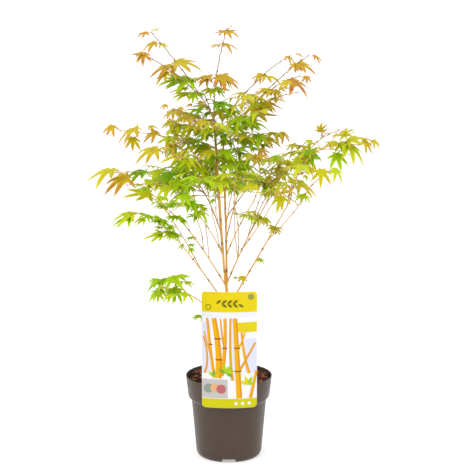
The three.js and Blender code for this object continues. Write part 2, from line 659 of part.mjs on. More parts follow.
// The label: a slice of a wide cylinder wall with rounded corners, and a hook over the rim behind it.
function labelSolid() {
  const { width, foot, top, thickness, bowRadius, bowSteps, cornerRadius } = LABEL;
  const front = -POT.rimRadius - LABEL.standOff;
  const half = width / 2;
  const bend = Math.asin(half / bowRadius) * LABEL.bowSpare;
  const arc = (radius, i) => {
    const turn = -bend + (2 * bend * i) / bowSteps;
    return new THREE.Vector2(radius * Math.sin(turn), front + bowRadius - radius * Math.cos(turn));
  };
  const outer = Array.from({ length: bowSteps + 1 }, (_, i) => arc(bowRadius, i));
  const inner = Array.from({ length: bowSteps + 1 }, (_, i) => arc(bowRadius - thickness, bowSteps - i));
  const slice = new THREE.Shape([...outer, ...inner]);
  const bowed = new THREE.ExtrudeGeometry(slice, { depth: top - foot, bevelEnabled: false });
  bowed.translate(LABEL.middle, 0, foot);
  const corner = (x, y, turn) => [x, y, cornerRadius, turn, turn + Math.PI / 2];
  const outline = new THREE.Shape();
  outline.moveTo(-half + cornerRadius, foot);
  outline.absarc(...corner(half - cornerRadius, foot + cornerRadius, -Math.PI / 2));
  outline.absarc(...corner(half - cornerRadius, top - cornerRadius, 0));
  outline.absarc(...corner(-half + cornerRadius, top - cornerRadius, Math.PI / 2));
  outline.absarc(...corner(-half + cornerRadius, foot + cornerRadius, Math.PI));
  const settings = { depth: 2 * half, bevelEnabled: false, curveSegments: LABEL.cornerSteps };
  const plate = new THREE.ExtrudeGeometry(outline, settings);
  plate.rotateX(Math.PI / 2).translate(LABEL.middle, front + half, 0);
  const rest = POT.height + GAP;
  const inside = -POT.rimRadius + POT.wall + LABEL.hookClear;
  const hook = new THREE.Shape([
    new THREE.Vector2(front + thickness / 2, rest),
    new THREE.Vector2(inside, rest),
    new THREE.Vector2(inside, LABEL.hookFoot),
    new THREE.Vector2(inside + LABEL.hookThickness, LABEL.hookFoot),
    new THREE.Vector2(inside + LABEL.hookThickness, rest + LABEL.hookThickness),
    new THREE.Vector2(front + thickness / 2, rest + LABEL.hookThickness),
  ]);
  const tongue = new THREE.ExtrudeGeometry(hook, { depth: LABEL.hookWidth, bevelEnabled: false });
  tongue.rotateX(Math.PI / 2).rotateZ(Math.PI / 2).translate(-LABEL.hookWidth / 2, 0, 0);
  return solid(bowed).intersect(solid(plate)).add(solid(tongue));
}

const material = (color, roughness) => new THREE.MeshStandardMaterial({ color, roughness });
const potPlastic = material("#5c4f46", 0.7);
const pottingMix = material("#4a2f22", 0.95);
const card = material("#ffe100", 0.5);
const bark = material("#d98a3c", 0.7);

const model = new THREE.Group();
model.add(meshOf("pot", potSolid(), potPlastic));
model.add(meshOf("soil", soilSolid(), pottingMix));
model.add(meshOf("label", labelSolid(), card));
for (const [name, limb] of limbs) model.add(meshOf(name, limb.solid, bark));
const placed = [...limbs.values()];
for (const stem of stems) {
  const tint = new THREE.Color("#5fae1c").lerp(new THREE.Color("#e0933a"), stem.warmth);
  model.add(meshOf(stem.name, clearOf(foliageSolid(stem), placed), material(tint, 0.6)));
  placed.push({ grown: rod(stem.curve, tapering(SHOOT.radii), LIMB.sides, SHOOT.rings, GAP, GAP) });
}

export default model;
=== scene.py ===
"""A young Japanese maple with orange bark in a round nursery pot, with a card label."""

from math import asin, atan2, ceil, cos, exp, floor, hypot, pi, radians, sin, sqrt
from types import SimpleNamespace

import bpy
import numpy as np
from bpy.props import FloatProperty, FloatVectorProperty, IntProperty, PointerProperty
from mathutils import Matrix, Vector
from numpy.linalg import norm


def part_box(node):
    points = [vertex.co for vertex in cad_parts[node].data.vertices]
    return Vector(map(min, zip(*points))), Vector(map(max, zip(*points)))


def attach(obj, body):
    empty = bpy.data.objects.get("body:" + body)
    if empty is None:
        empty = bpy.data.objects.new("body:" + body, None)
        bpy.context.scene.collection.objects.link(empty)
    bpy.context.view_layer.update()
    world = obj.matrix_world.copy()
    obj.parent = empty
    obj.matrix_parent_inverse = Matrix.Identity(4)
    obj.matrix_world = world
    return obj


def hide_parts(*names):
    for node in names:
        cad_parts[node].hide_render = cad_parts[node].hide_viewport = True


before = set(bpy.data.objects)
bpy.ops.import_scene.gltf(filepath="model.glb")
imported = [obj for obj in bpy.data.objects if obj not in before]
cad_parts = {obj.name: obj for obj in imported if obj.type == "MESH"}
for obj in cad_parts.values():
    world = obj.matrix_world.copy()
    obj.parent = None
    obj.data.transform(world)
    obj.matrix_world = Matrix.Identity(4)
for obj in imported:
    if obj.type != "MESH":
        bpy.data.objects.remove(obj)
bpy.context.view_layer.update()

bl_info = {
    "name": "Potted Japanese maple",
    "version": (1, 0, 0),
    "blender": (4, 5, 0),
    "location": "View3D > Sidebar > Maple",
    "description": "Builds a maple's pot, potting mix, label, bark, twigs and leaves",
    "category": "Add Mesh",
}

MM = 0.001

# ------------------------------------------------------------------ the plan of the plant
# The rows below follow those of the part's own source, in millimetres, with the tints added.
# The gap that separate pieces keep.
GAP = 0.35
SOIL_TOP = 174

FLARE = SimpleNamespace(height=26, extra=3.6, lobes=5, fluting=0.14)

# The trunk and the limbs: name, start, tip, bow and the radii at the two ends. A start is a point, or
# a parent and a share of its length, and bow is how far the middle stands off the straight line. A
# bow that is one number stands upward.
LIMB_STEPS = 5
LIMBS = (
    ("trunk", (3, 6, SOIL_TOP + GAP), (-6, 0, 390), (2, -2, 0), (6.4, 4.5)),
    ("leader_left", (-8.7, -0.8, 388), (-31, 0, 749), (-0.6, 0, 0), (2.4, 1.6)),
    ("leader_right", (-3.1, 0.8, 388), (-14, 17, 745), (0.4, 3, 0), (2.5, 1.6)),
    ("bough_top_left", ("leader_left", 1), (-60, 0, 801), 2, (1.4, 1.2)),
    ("bough_top_right", ("leader_right", 0.96), (57, 2, 786), -5, (1.4, 1.2)),
    ("bough_left_low", ("trunk", 0.96), (-95, -40, 527), 5, (1.7, 1.2)),
    ("bough_left_fork", ("bough_left_low", 0.56), (-70, -8, 534), (4, 0, 0), (1.2, 1)),
    ("bough_right_low", ("trunk", 0.98), (83, -20, 573), (-2, 0, 4), (1.8, 1.2)),
    ("bough_right_up", ("bough_right_low", 0.3), (11, -60, 577), (6, 6, 0), (1.3, 1)),
    ("bough_right_front", ("bough_right_low", 0.42), (95, -60, 579), (2, -4, 0), (1.3, 1)),
    ("bough_left_front", ("leader_left", 0.18), (-57, -90, 548), (0, -2, 6), (1.4, 1.1)),
    ("bough_right_mid", ("leader_right", 0.18), (53, -90, 585), (-2, -2, 4), (1.5, 1.1)),
    ("bough_back_right", ("leader_right", 0.27), (19, 70, 574), (0, 2, 4), (1.3, 1.1)),
    ("bough_left_back", ("leader_left", 0.3), (-74, 80, 609), (4, 0, 6), (1.5, 1.1)),
    ("bough_back", ("leader_right", 0.08), (-8, 120, 564), (0, 8, 8), (1.4, 1.1)),
    ("stem_left", ("trunk", 0.73), (-99, -80, 488), (0, 2, 4), (1.9, 1.2)),
    ("stem_left_fork", ("stem_left", 0.58), (-128, -10, 541), 3, (1.2, 1)),
    ("stem_right", ("trunk", 0.74), (132, -30, 577), (4, -4, 6), (2, 1.2)),
    ("stem_right_fork", ("stem_right", 0.62), (155, -80, 584), (2, 0, -2), (1.3, 1)),
    ("stem_low_left", ("trunk", 0.45), (-92, -66, 382), 14, (1.5, 1.1)),
)

# The masses of foliage, each one leafy shoot: name, start, tip, bow, pairs of leaves, length of a
# full leaf, the share of older leaves that are side twigs instead, warmth, and the tints of the
# leaves at its tip and at its foot, which run from 0, deep green, to 1, pink young leaves.
FOLIAGE = (
    ("top_centre", ("leader_left", 1), (-3, 0, 943), (-9, 0, 0), 5, 54, 0, 0.8, 0.9, 0.25),
    ("top_left", ("bough_top_left", 1), (-163, -20, 935), 5, 6, 52, 0, 0.5, 0.9, 0.35),
    ("top_left_side", ("bough_top_left", 0.96), (-184, -50, 893), 8, 5, 50, 0.3, 0.2, 0.8, 0.4),
    ("top_right_high", ("leader_right", 1), (134, 60, 884), 14, 5, 49, 0, 0.5, 0.9, 0.5),
    ("top_right", ("bough_top_right", 1), (172, -10, 888), 6, 5, 48, 0, 0.4, 0.95, 0.5),
    ("top_right_side", ("bough_top_right", 0.9), (150, -60, 846), 10, 5, 46, 0.3, 0.3, 0.9, 0.55),
    ("upper_left", ("leader_left", 0.92), (-118, -60, 779), 2, 6, 44, 0.5, 0.2, 0.9, 0.5),
    ("left_high", ("leader_left", 0.8), (-240, 40, 722), 10, 8, 46, 0.5, 0.3, 0.85, 0.4),
    ("left_mid", ("leader_left", 0.66), (-164, -90, 696), 8, 6, 44, 0.5, 0.3, 0.7, 0.28),
    ("left_wide", ("bough_left_back", 1), (-252, 50, 628), 8, 6, 60, 0.5, 0, 0.7, 0.1),
    ("left_wide_low", ("bough_left_back", 0.85), (-218, -60, 616), 4, 5, 56, 0.5, 0.1, 0.7, 0.2),
    ("left_front", ("bough_left_front", 1), (-104, -150, 605), 4, 4, 38, 0.5, 0.1, 0.25, 0.06),
    ("left_low", ("bough_left_low", 1), (-146, -60, 571), 4, 4, 49, 0.3, 0.1, 0.25, 0.03),
    ("left_inner", ("bough_left_fork", 1), (-76, -40, 604), 0, 4, 46, 0.3, 0.1, 0.25, 0.03),
    ("left_chain", ("stem_left", 1), (-212, -100, 564), 18, 7, 46, 0.2, 0, 0.12, 0.05),
    ("left_shelf", ("stem_left_fork", 1), (-169, 30, 575), 4, 4, 49, 0.3, 0.1, 0.15, 0.05),
    ("low_left", ("stem_low_left", 1), (-128, -106, 424), 8, 3, 54, 0, 0, 0.1, 0.2),
    ("right_reach", ("stem_right", 1), (278, -70, 702), (-26, 0, 40), 8, 50, 0.5, 0.1, 0.7, 0.48),
    ("right_crest", ("stem_right", 0.96), (242, 20, 726), (-20, 10, 24), 8, 50, 0.5, 0.1, 0.6, 0.42),
    ("right_reach_low", ("stem_right_fork", 1), (214, -126, 656), (-4, 0, 8), 6, 43, 0.5, 0.1, 0.45, 0.5),
    ("right_inner", ("bough_right_low", 1), (117, 40, 644), 6, 5, 51, 0.5, 0.3, 0.65, 0.46),
    ("right_front", ("bough_right_front", 1), (128, -120, 622), 6, 5, 46, 0.5, 0.3, 0.65, 0.5),
    ("centre_front", ("bough_right_up", 1), (16, -150, 654), 6, 5, 46, 0.5, 0.2, 0.3, 0.06),
    ("right_mid_front", ("bough_right_mid", 1), (69, -160, 632), 4, 4, 46, 0.5, 0.2, 0.55, 0.35),
    ("back_right", ("bough_back_right", 1), (76, 170, 659), 10, 5, 53, 0.5, 0.2, 0.4, 0.12),
    ("centre_right", ("leader_right", 0.86), (92, 40, 716), 6, 5, 44, 0.3, 0.6, 0.75, 0.4),
    ("centre_high_left", ("leader_left", 0.97), (-58, 44, 810), 6, 5, 50, 0.3, 0, 0.25, 0.04),
    ("centre_high_right", ("leader_right", 0.94), (76, -50, 768), 6, 5, 50, 0.4, 0, 0.4, 0.08),
    ("centre_right_low", ("leader_right", 0.7), (58, -60, 674), 4, 4, 49, 0.3, 0.4, 0.35, 0.06),
    ("right_sprig", ("bough_right_up", 0.8), (83, -116, 540), 6, 3, 39, 0, 0.1, 0.35, 0.3),
    ("back_left", ("leader_left", 0.5), (-91, 210, 661), 16, 6, 53, 0.5, 0.2, 0.5, 0.08),
    ("back_low", ("bough_back", 1), (-10, 225, 632), 8, 5, 53, 0.5, 0.2, 0.3, 0.08),
    ("back_high", ("leader_right", 0.85), (25, 160, 789), 12, 5, 49, 0.3, 0.5, 0.8, 0.35),
    ("back_wide_right", ("leader_right", 0.4), (140, 180, 659), 20, 6, 53, 0.5, 0.2, 0.6, 0.25),
    ("back_wide_left", ("bough_left_back", 0.7), (-183, 190, 626), 12, 5, 53, 0.5, 0.2, 0.6, 0.2),
    ("front_left", ("leader_left", 0.55), (-57, -180, 644), 12, 5, 41, 0.5, 0.2, 0.35, 0.08),
    ("front_high", ("leader_left", 0.85), (-30, -120, 752), 8, 5, 44, 0.3, 0.3, 0.5, 0.08),
)

# The leaf's lobes in the source: turn from the midrib in degrees, share of the leaf's length.
LOBES = ((-80, 0.64), (-39, 0.9), (0, 1), (39, 0.9), (80, 0.64))
LEAF = SimpleNamespace(
    base_share=0.22, droop=0.38, tries=24, shrink=0.4, swing=(0.25, 1.1), rise=(-0.2, 0.4), tilt=(-0.05, 0.4),
    roll=0.3, stalk_share=(0.28, 0.44), stalk_bare=0.35, stalk_radius=1.2, seen=(0.45, 0.9),
)

# The room of a lobe, as straight pieces: start and end as shares of it, and the half width.
LOBE_ROOM = ((0, 0.5, 0.14), (0.5, 0.75, 0.1), (0.75, 1, 0.055))

SHOOT = SimpleNamespace(
    tip_gap=3, young_gap=27, long_gap=70, even_gap=27, bare_foot=16, young_size=0.5, size_step=0.24,
    radii=(1.45, 0.95), rings=4, least_lean=0.3, steep_rise=0.93, steep_turn=1.1, spread=1.15, first_twig=2,
    first_seed=4001,
)

TWIG = SimpleNamespace(
    reach=(44, 64), swing=0.35, rise=(-0.05, 0.35), radii=(1.1, 1), bare_share=0.12, leaf_at=0.95,
    turns=(-0.75, 0.85),
)

# Finer twigs, which the solids leave out: thin bare branches and small leafy sprigs on the limbs,
# as start, tip, bow, pairs of leaves, length of a leaf, and the tints at tip and foot.
SPRIGS = (
    (("bough_left_low", 0.42), (-62, 10, 564), (3, 0, 6), 3, 34, 0.2, 0.15),
    (("leader_left", 0.17), (-52, -26, 644), (-4, 0, 4), 3, 36, 0.2, 0.15),
    (("leader_left", 0.3), (-26, -54, 614), (-6, -6, 0), 3, 36, 0.3, 0.15),
    (("bough_right_low", 0.3), (20, -20, 694), (-8, 0, 0), 3, 38, 0.3, 0.15),
    (("bough_right_low", 0.55), (76, 18, 594), (-2, 4, 0), 3, 38, 0.4, 0.3),
    (("bough_right_low", 0.55), (86, -8, 596), 2, 2, 38, 0.4, 0.3),
    (("leader_right", 0.32), (22, 36, 644), (-4, 2, 0), 3, 36, 0.3, 0.15),
    (("stem_low_left", 0.2), (-56, -50, 326), 3, 2, 24, 0.2, 0.2),
    (("leader_left", 0.9), (-128, 10, 740), 6, 4, 42, 0.6, 0.3),
    (("leader_left", 0.95), (-120, 36, 766), 8, 4, 40, 0.65, 0.35),
    (("bough_top_right", 0.35), (62, -64, 816), 6, 3, 42, 0.6, 0.4),
    (("bough_top_right", 0.6), (150, -16, 810), 8, 4, 42, 0.8, 0.5),
    (("right_reach", 0.6), (270, -50, 672), 8, 4, 42, 0.5, 0.3),
    (("right_crest", 0.75), (218, -14, 720), 6, 3, 40, 0.5, 0.2),
    (("leader_right", 0.85), (120, -10, 720), 6, 4, 42, 0.5, 0.3),
    (("bough_right_low", 0.95), (130, 34, 646), 6, 4, 44, 0.5, 0.35),
    (("bough_right_low", 0.9), (122, -64, 622), 6, 3, 44, 0.5, 0.35),
)
# Where the camera stands, and the open sky that it sees between the masses, as left, right, low and
# high sides on the upright plane through the middle of the pot. Leaves keep out of these.
EYE = np.array((13.6, -2800.0, 994.0))
OPENINGS = (
    (-63, 72, 544, 598),
    (72, 150, 544, 588),
    (-8, 135, 370, 528),
    (-85, -10, 370, 496),
    (-300, 300, 795, 1000),
    (-311, -132, 662, 796),
    (-313, -167, 553, 667),
    (-316, -85, 420, 561),
    (180, 373, 564, 766),
    (105, 175, 690, 795),
    (72, 376, 437, 566),
    (-160, -105, 645, 686),
    (52, 95, 714, 751),
    (59, 120, 662, 686),
    (144, 185, 572, 627),
    (-93, -45, 561, 610),
    (-65, -13, 491, 526),
)
# How many of the tested points of a leaf or twig are in the openings before it is left out.
OPEN_POINTS = 2
# The leaves that stand free against that sky. Each is on the nearest stem: its palm and the tip of
# its middle lobe, both as x and height on the same upright plane, and its tint in hundredths.
FREE_LEAVES = (
    (-9, 938, -30, 930, 95), (-4, 939, 21, 927, 95), (-21, 909, -44, 904, 95), (-12, 912, 21, 903, 93),
    (-41, 843, -76, 829, 79), (-17, 844, 21, 819, 75), (-43, 840, -63, 821, 77), (-21, 842, -13, 823, 73),
    (-10, 840, 10, 822, 67), (-38, 814, -40, 799, 25), (-26, 816, -8, 798, 22), (-27, 782, -9, 774, 12),
    (-22, 787, -10, 792, 10), (-38, 815, -60, 810, 30), (-23, 816, 3, 806, 25), (-26, 785, 10, 778, 12),
    (-48, 778, -80, 778, 12), (-68, 769, -93, 770, 15), (-1, 944, 7, 951, 82), (-175, 935, -192, 924, 95),
    (-163, 940, -147, 943, 95), (-157, 914, -185, 899, 89), (-146, 912, -128, 903, 83),
    (-112, 873, -58, 857, 77), (-124, 866, -169, 851, 69), (-133, 850, -156, 826, 73),
    (-122, 851, -104, 839, 79), (-103, 836, -154, 819, 25), (-90, 805, -121, 795, 15),
    (-92, 817, -128, 805, 49), (-73, 805, -76, 789, 12), (-69, 809, -103, 800, 14), (-62, 806, -51, 799, 20),
    (-60, 773, -71, 761, 14), (-43, 766, -56, 756, 20), (-92, 765, -105, 758, 20), (-90, 758, -107, 745, 52),
    (-92, 751, -76, 739, 95), (-100, 754, -117, 743, 53), (-72, 758, -54, 750, 47), (-68, 766, -51, 773, 20),
    (-2, 769, 23, 760, 18), (-10, 760, 7, 756, 30), (-185, 892, -206, 886, 95), (-183, 891, -183, 867, 93),
    (-134, 781, -146, 776, 95), (-122, 767, -139, 758, 95), (-106, 775, -95, 768, 95),
    (-125, 750, -133, 742, 95), (-80, 783, -91, 780, 95), (-62, 789, -51, 782, 95),
    (-251, 736, -262, 716, 95), (-200, 733, -243, 709, 95), (-207, 710, -209, 686, 95),
    (-171, 735, -153, 733, 87), (-158, 687, -201, 667, 87), (-147, 688, -128, 689, 67),
    (-156, 722, -181, 702, 83), (147, 891, 157, 885, 95), (124, 885, 141, 875, 86), (79, 844, 111, 834, 80),
    (70, 847, 54, 831, 84), (33, 807, 6, 802, 66), (43, 804, 72, 798, 64), (183, 886, 201, 875, 95),
    (150, 870, 185, 852, 86), (145, 869, 141, 850, 92), (85, 814, 61, 804, 76), (100, 812, 117, 795, 76),
    (110, 816, 127, 818, 70), (69, 785, 110, 783, 88), (70, 780, 87, 760, 74), (61, 784, 44, 752, 80),
    (61, 763, 102, 750, 30), (166, 842, 168, 829, 97), (136, 835, 168, 804, 86), (127, 833, 107, 816, 86),
    (45, 743, 84, 735, 30), (49, 748, 71, 747, 40), (13, 764, 30, 768, 50), (-1, 757, -24, 757, 40),
    (115, 722, 131, 705, 97), (81, 709, 109, 699, 78), (74, 708, 58, 697, 80), (69, 687, 80, 670, 98),
    (64, 673, 88, 661, 72), (46, 675, 25, 665, 68), (56, 672, 71, 652, 70), (201, 719, 215, 732, 97),
    (197, 725, 199, 744, 88), (237, 718, 255, 732, 76), (247, 719, 273, 727, 68), (232, 718, 223, 711, 55),
    (260, 706, 305, 707, 56), (293, 704, 311, 680, 74), (312, 704, 325, 691, 60), (258, 696, 298, 658, 52),
    (238, 697, 245, 680, 55), (232, 700, 203, 689, 58), (234, 675, 242, 645, 20), (229, 643, 248, 620, 35),
    (202, 640, 196, 613, 54), (176, 680, 144, 678, 44), (178, 704, 161, 699, 45), (169, 671, 172, 639, 38),
    (152, 664, 143, 644, 38), (185, 671, 198, 667, 20), (117, 654, 101, 664, 62), (130, 652, 128, 664, 62),
    (153, 613, 196, 583, 50), (162, 585, 146, 572, 34), (164, 585, 176, 570, 34), (116, 581, 100, 558, 34),
    (165, 628, 175, 620, 28), (104, 620, 85, 607, 56), (89, 626, 80, 613, 60), (134, 620, 149, 611, 50),
    (120, 611, 134, 598, 44), (99, 644, 82, 638, 58), (171, 678, 186, 671, 40), (216, 698, 227, 688, 50),
    (-252, 642, -313, 621, 62), (-222, 626, -270, 596, 76), (-182, 638, -222, 632, 12),
    (-144, 643, -121, 643, 10), (-190, 608, -209, 605, 30), (-176, 606, -163, 599, 52),
    (-173, 589, -224, 574, 34), (-147, 582, -157, 569, 45), (-140, 562, -163, 562, 14),
    (-121, 606, -144, 600, 8), (-119, 605, -98, 596, 8), (-93, 590, -131, 577, 14), (-99, 672, -148, 656, 52),
    (-116, 688, -146, 675, 12), (-209, 544, -257, 535, 30), (-215, 535, -257, 518, 30),
    (-181, 542, -198, 547, 10), (-179, 541, -162, 531, 10), (-185, 532, -208, 526, 34),
    (-156, 530, -170, 524, 14), (-153, 530, -136, 526, 14), (-147, 514, -163, 516, 24),
    (-148, 497, -182, 496, 36), (-128, 513, -114, 515, 28), (-129, 514, -138, 513, 28),
    (-120, 499, -107, 489, 28), (-126, 497, -130, 487, 28), (-101, 476, -110, 467, 28),
    (-86, 475, -74, 475, 28), (-83, 467, -80, 458, 28), (-83, 492, -93, 489, 28), (-80, 492, -72, 489, 28),
    (-102, 531, -87, 523, 20), (-124, 517, -136, 511, 22), (-122, 504, -133, 495, 24),
    (-117, 500, -103, 492, 26), (-148, 504, -163, 506, 34), (-111, 537, -97, 524, 18),
    (-114, 538, -133, 534, 18), (-142, 528, -151, 519, 18), (-128, 516, -120, 506, 22),
    (-123, 538, -138, 536, 20), (17, 546, 11, 544, 28), (36, 541, 27, 537, 26), (45, 540, 55, 542, 22),
    (50, 538, 51, 527, 20), (66, 535, 63, 520, 24), (70, 537, 63, 530, 22), (79, 535, 91, 528, 28),
    (80, 531, 84, 520, 30), (99, 515, 84, 519, 54), (101, 513, 88, 503, 56), (105, 513, 119, 511, 56),
    (105, 511, 111, 501, 56), (68, 444, 61, 439, 28), (69, 444, 73, 450, 24), (70, 442, 74, 436, 30),
    (28, 404, 32, 391, 54), (17, 402, 12, 402, 10), (-55, 557, -46, 552, 28), (-58, 556, -63, 553, 30),
    (-33, 576, -41, 569, 18), (-150, 396, -176, 398, 14), (-148, 395, -169, 382, 20),
    (-148, 396, -133, 395, 14), (-110, 392, -131, 392, 12), (-108, 392, -98, 392, 14),
    (-94, 392, -76, 387, 28), (-112, 405, -87, 407, 20), (-114, 403, -132, 401, 20),
    (-156, 370, -179, 352, 36), (-154, 368, -157, 352, 34), (-120, 376, -133, 353, 14),
    (-118, 375, -103, 352, 20), (-117, 377, -116, 385, 10), (-124, 374, -142, 368, 16),
    (-62, 315, -81, 312, 24), (-82, 836, -134, 823, 10), (-80, 837, -58, 840, 69), (93, 812, 115, 796, 70),
    (93, 813, 64, 809, 66), (251, 716, 228, 713, 40), (251, 717, 253, 732, 40), (252, 716, 275, 724, 38),
    (253, 700, 227, 683, 45), (178, 683, 152, 678, 20), (179, 683, 205, 689, 30), (178, 680, 187, 655, 8),
    (-189, 636, -220, 628, 8), (-180, 616, -153, 610, 38), (-176, 598, -201, 596, 14),
    (-136, 578, -164, 580, 20), (-132, 562, -105, 566, 8), (-137, 560, -160, 561, 8),
    (-150, 533, -173, 540, 8), (-148, 530, -127, 516, 8), (-128, 503, -151, 501, 14),
    (-127, 502, -105, 493, 20),
)
FREE = SimpleNamespace(
    seed=5001, steps=24, stalk=0.3, forward=(0.1, 0.45), hanging=0.7, hanging_forward=0.65, sag=0.22,
    roll=(0.14, 0.42), least=5.5,
)

# Leafy side twigs that fill the middle of the crown: the limb, the shares of it between which they
# stand, how many there are, and the tints at their tips and feet.
INNER = (
    ("leader_left", (0.56, 0.99), 15, 0.3, 0.1),
    ("leader_right", (0.5, 0.98), 15, 0.3, 0.1),
    ("bough_left_back", (0.6, 0.98), 5, 0.35, 0.15),
    ("bough_top_right", (0.1, 0.9), 3, 0.6, 0.35),
    ("stem_right", (0.86, 0.99), 3, 0.4, 0.3),
    ("stem_right_fork", (0.8, 0.98), 3, 0.4, 0.3),
    ("bough_right_low", (0.88, 0.99), 3, 0.4, 0.3),
)
INNER_TWIG = SimpleNamespace(
    turn=2.4, swing=0.4, bow=3, reach=(56, 104), rise=(-0.1, 0.5), pairs=3, leaf=40, first_seed=9001,
)
FINE = SimpleNamespace(
    reach=(26, 58), swing=0.5, rise=(-0.15, 0.4), radii=(0.8, 0.55), bow=(-2, 3), leaf_share=(0.6, 0.9),
    room=0.18, spacing=10, foot=0.1, chance=0.95, first_seed=7001, spread=(0.7, 1.5), tint_swing=0.1,
    bare_warmth=0.25,
)

UP = np.array((0.0, 0.0, 1.0))
AWAY = np.array((0.0, 1.0, 0.0))
SMALL = 1e-9
# How upright a stem is, from 0 to 1, when its sides are found from the way away from the camera.
NEAR_UPRIGHT = 0.9
DRAW_FACTOR, DRAW_RANGE = 16807, 2147483647


def draws(seed):
    """Repeatable draws: the same seed always gives the same numbers."""
    state = seed

    def draw(low, high):
        nonlocal state
        state = state * DRAW_FACTOR % DRAW_RANGE
        return low + (high - low) * state / DRAW_RANGE

    return draw


def unit(way):
    return way / norm(way)


def between(ends, share):
    """The value at a share of the way between two ends."""
    return ends[0] + (ends[1] - ends[0]) * share


def guide_across(way):
    """A direction that is well off the given one."""
    return UP if abs(way[2]) < NEAR_UPRIGHT else AWAY


def curve_at(start, middle, tip, share):
    """A point of the quadratic curve that bends towards its middle."""
    rest = 1 - share
    return rest * rest * start + 2 * rest * share * middle + share * share * tip


class Bend:
    """A quadratic curve in millimetres, whose middle stands off the straight line by its bow."""

    def __init__(self, start, tip, bow=0):
        self.start = np.array(start, float)
        self.tip = np.array(tip, float)
        bow = bow if isinstance(bow, tuple) else (0, 0, bow)
        self.middle = (self.start + self.tip) / 2 + 2 * np.array(bow, float)

    def at(self, share):
        return curve_at(self.start, self.middle, self.tip, share)

    def along(self, share):
        step = 1e-4
        return unit(self.at(min(share + step, 1)) - self.at(max(share - step, 0)))

    def length(self, steps=200):
        points = np.array([self.at(i / steps) for i in range(steps + 1)])
        return float(norm(np.diff(points, axis=0), axis=1).sum())

    def heading(self):
        """Its way round the upright axis."""
        chord = self.tip - self.start
        return atan2(chord[1], chord[0])


# The columns of a straight round piece, and the two that are added for a quick test of the room.
FOOT, TIP, RADIUS, MIDDLE, REACH = slice(0, 3), slice(3, 6), 6, slice(7, 10), 10


def pieces_along(bend, radii, count, first=0):
    """A curve as straight round pieces: rows of foot, tip and radius."""
    shares = [first + (1 - first) * i / count for i in range(count + 1)]
    return np.array([[*bend.at(a), *bend.at(b), between(radii, a)] for a, b in zip(shares, shares[1:])])


class Room:
    """What is already in place, as straight round pieces."""

    def __init__(self):
        self.rows = np.empty((0, REACH + 1))

    @staticmethod
    def with_reach(pieces):
        foot, tip = pieces[:, FOOT], pieces[:, TIP]
        reach = norm(tip - foot, axis=1) / 2 + pieces[:, RADIUS]
        return np.column_stack([pieces, (foot + tip) / 2, reach])

    def take(self, pieces):
        self.rows = np.vstack([self.rows, self.with_reach(pieces)])

    def loosen(self, share):
        """Keeps only a share of each piece's radius, so that finer things may come closer."""
        self.rows[:, REACH] -= self.rows[:, RADIUS] * (1 - share)
        self.rows[:, RADIUS] *= share

    def touches(self, pieces):
        """Whether any of the pieces comes within the gap of something in place."""
        mine, theirs = self.with_reach(pieces), self.rows
        middle = mine[:, MIDDLE].mean(axis=0)
        wide = (norm(mine[:, MIDDLE] - middle, axis=1) + mine[:, REACH]).max()
        theirs = theirs[norm(theirs[:, MIDDLE] - middle, axis=1) < wide + theirs[:, REACH] + GAP]
        apart = norm(mine[:, None, MIDDLE] - theirs[None, :, MIDDLE], axis=2)
        first, second = np.nonzero(apart < mine[:, None, REACH] + theirs[None, :, REACH] + GAP)
        if len(first) == 0:
            return False
        mine, theirs = mine[first], theirs[second]
        return bool((distances(mine, theirs) < mine[:, RADIUS] + theirs[:, RADIUS] + GAP).any())


def distances(one, other):
    """The closest distance of each pair of straight pieces, one row each."""
    dot = lambda a, b: (a * b).sum(axis=1)
    u, v = one[:, TIP] - one[:, FOOT], other[:, TIP] - other[:, FOOT]
    w = one[:, FOOT] - other[:, FOOT]
    uu, uv, vv, uw, vw = dot(u, u), dot(u, v), dot(v, v), dot(u, w), dot(v, w)
    spread = uu * vv - uv * uv
    skew = spread > SMALL
    first = np.where(skew, np.clip((uv * vw - vv * uw) / np.where(skew, spread, 1), 0, 1), 0)
    t = np.clip((uv * first + vw) / vv, 0, 1)
    s = np.clip((uv * t - uw) / uu, 0, 1)
    return norm(w + u * s[:, None] - v * t[:, None], axis=1)


def way_of(heading, rise):
    """The direction with a heading round the upright axis and a rise above level."""
    return np.array((cos(heading) * cos(rise), sin(heading) * cos(rise), sin(rise)))


class Node:
    """A place on a stem that bears leaves or twigs on the four sides of the stem."""

    def __init__(self, bend, share, across):
        along = bend.along(share)
        side = unit(np.cross(across, along))
        other = np.cross(along, side)
        self.at = bend.at(share)
        self.faces = [side, other, -side, -other]
        self.taken = set()

    def free_face(self, way):
        """The free side that best faces the given way, or -1."""
        leans = [0 if j in self.taken else float(normal @ way) for j, normal in enumerate(self.faces)]
        most = max(leans)
        return leans.index(most) if most > SHOOT.least_lean else -1


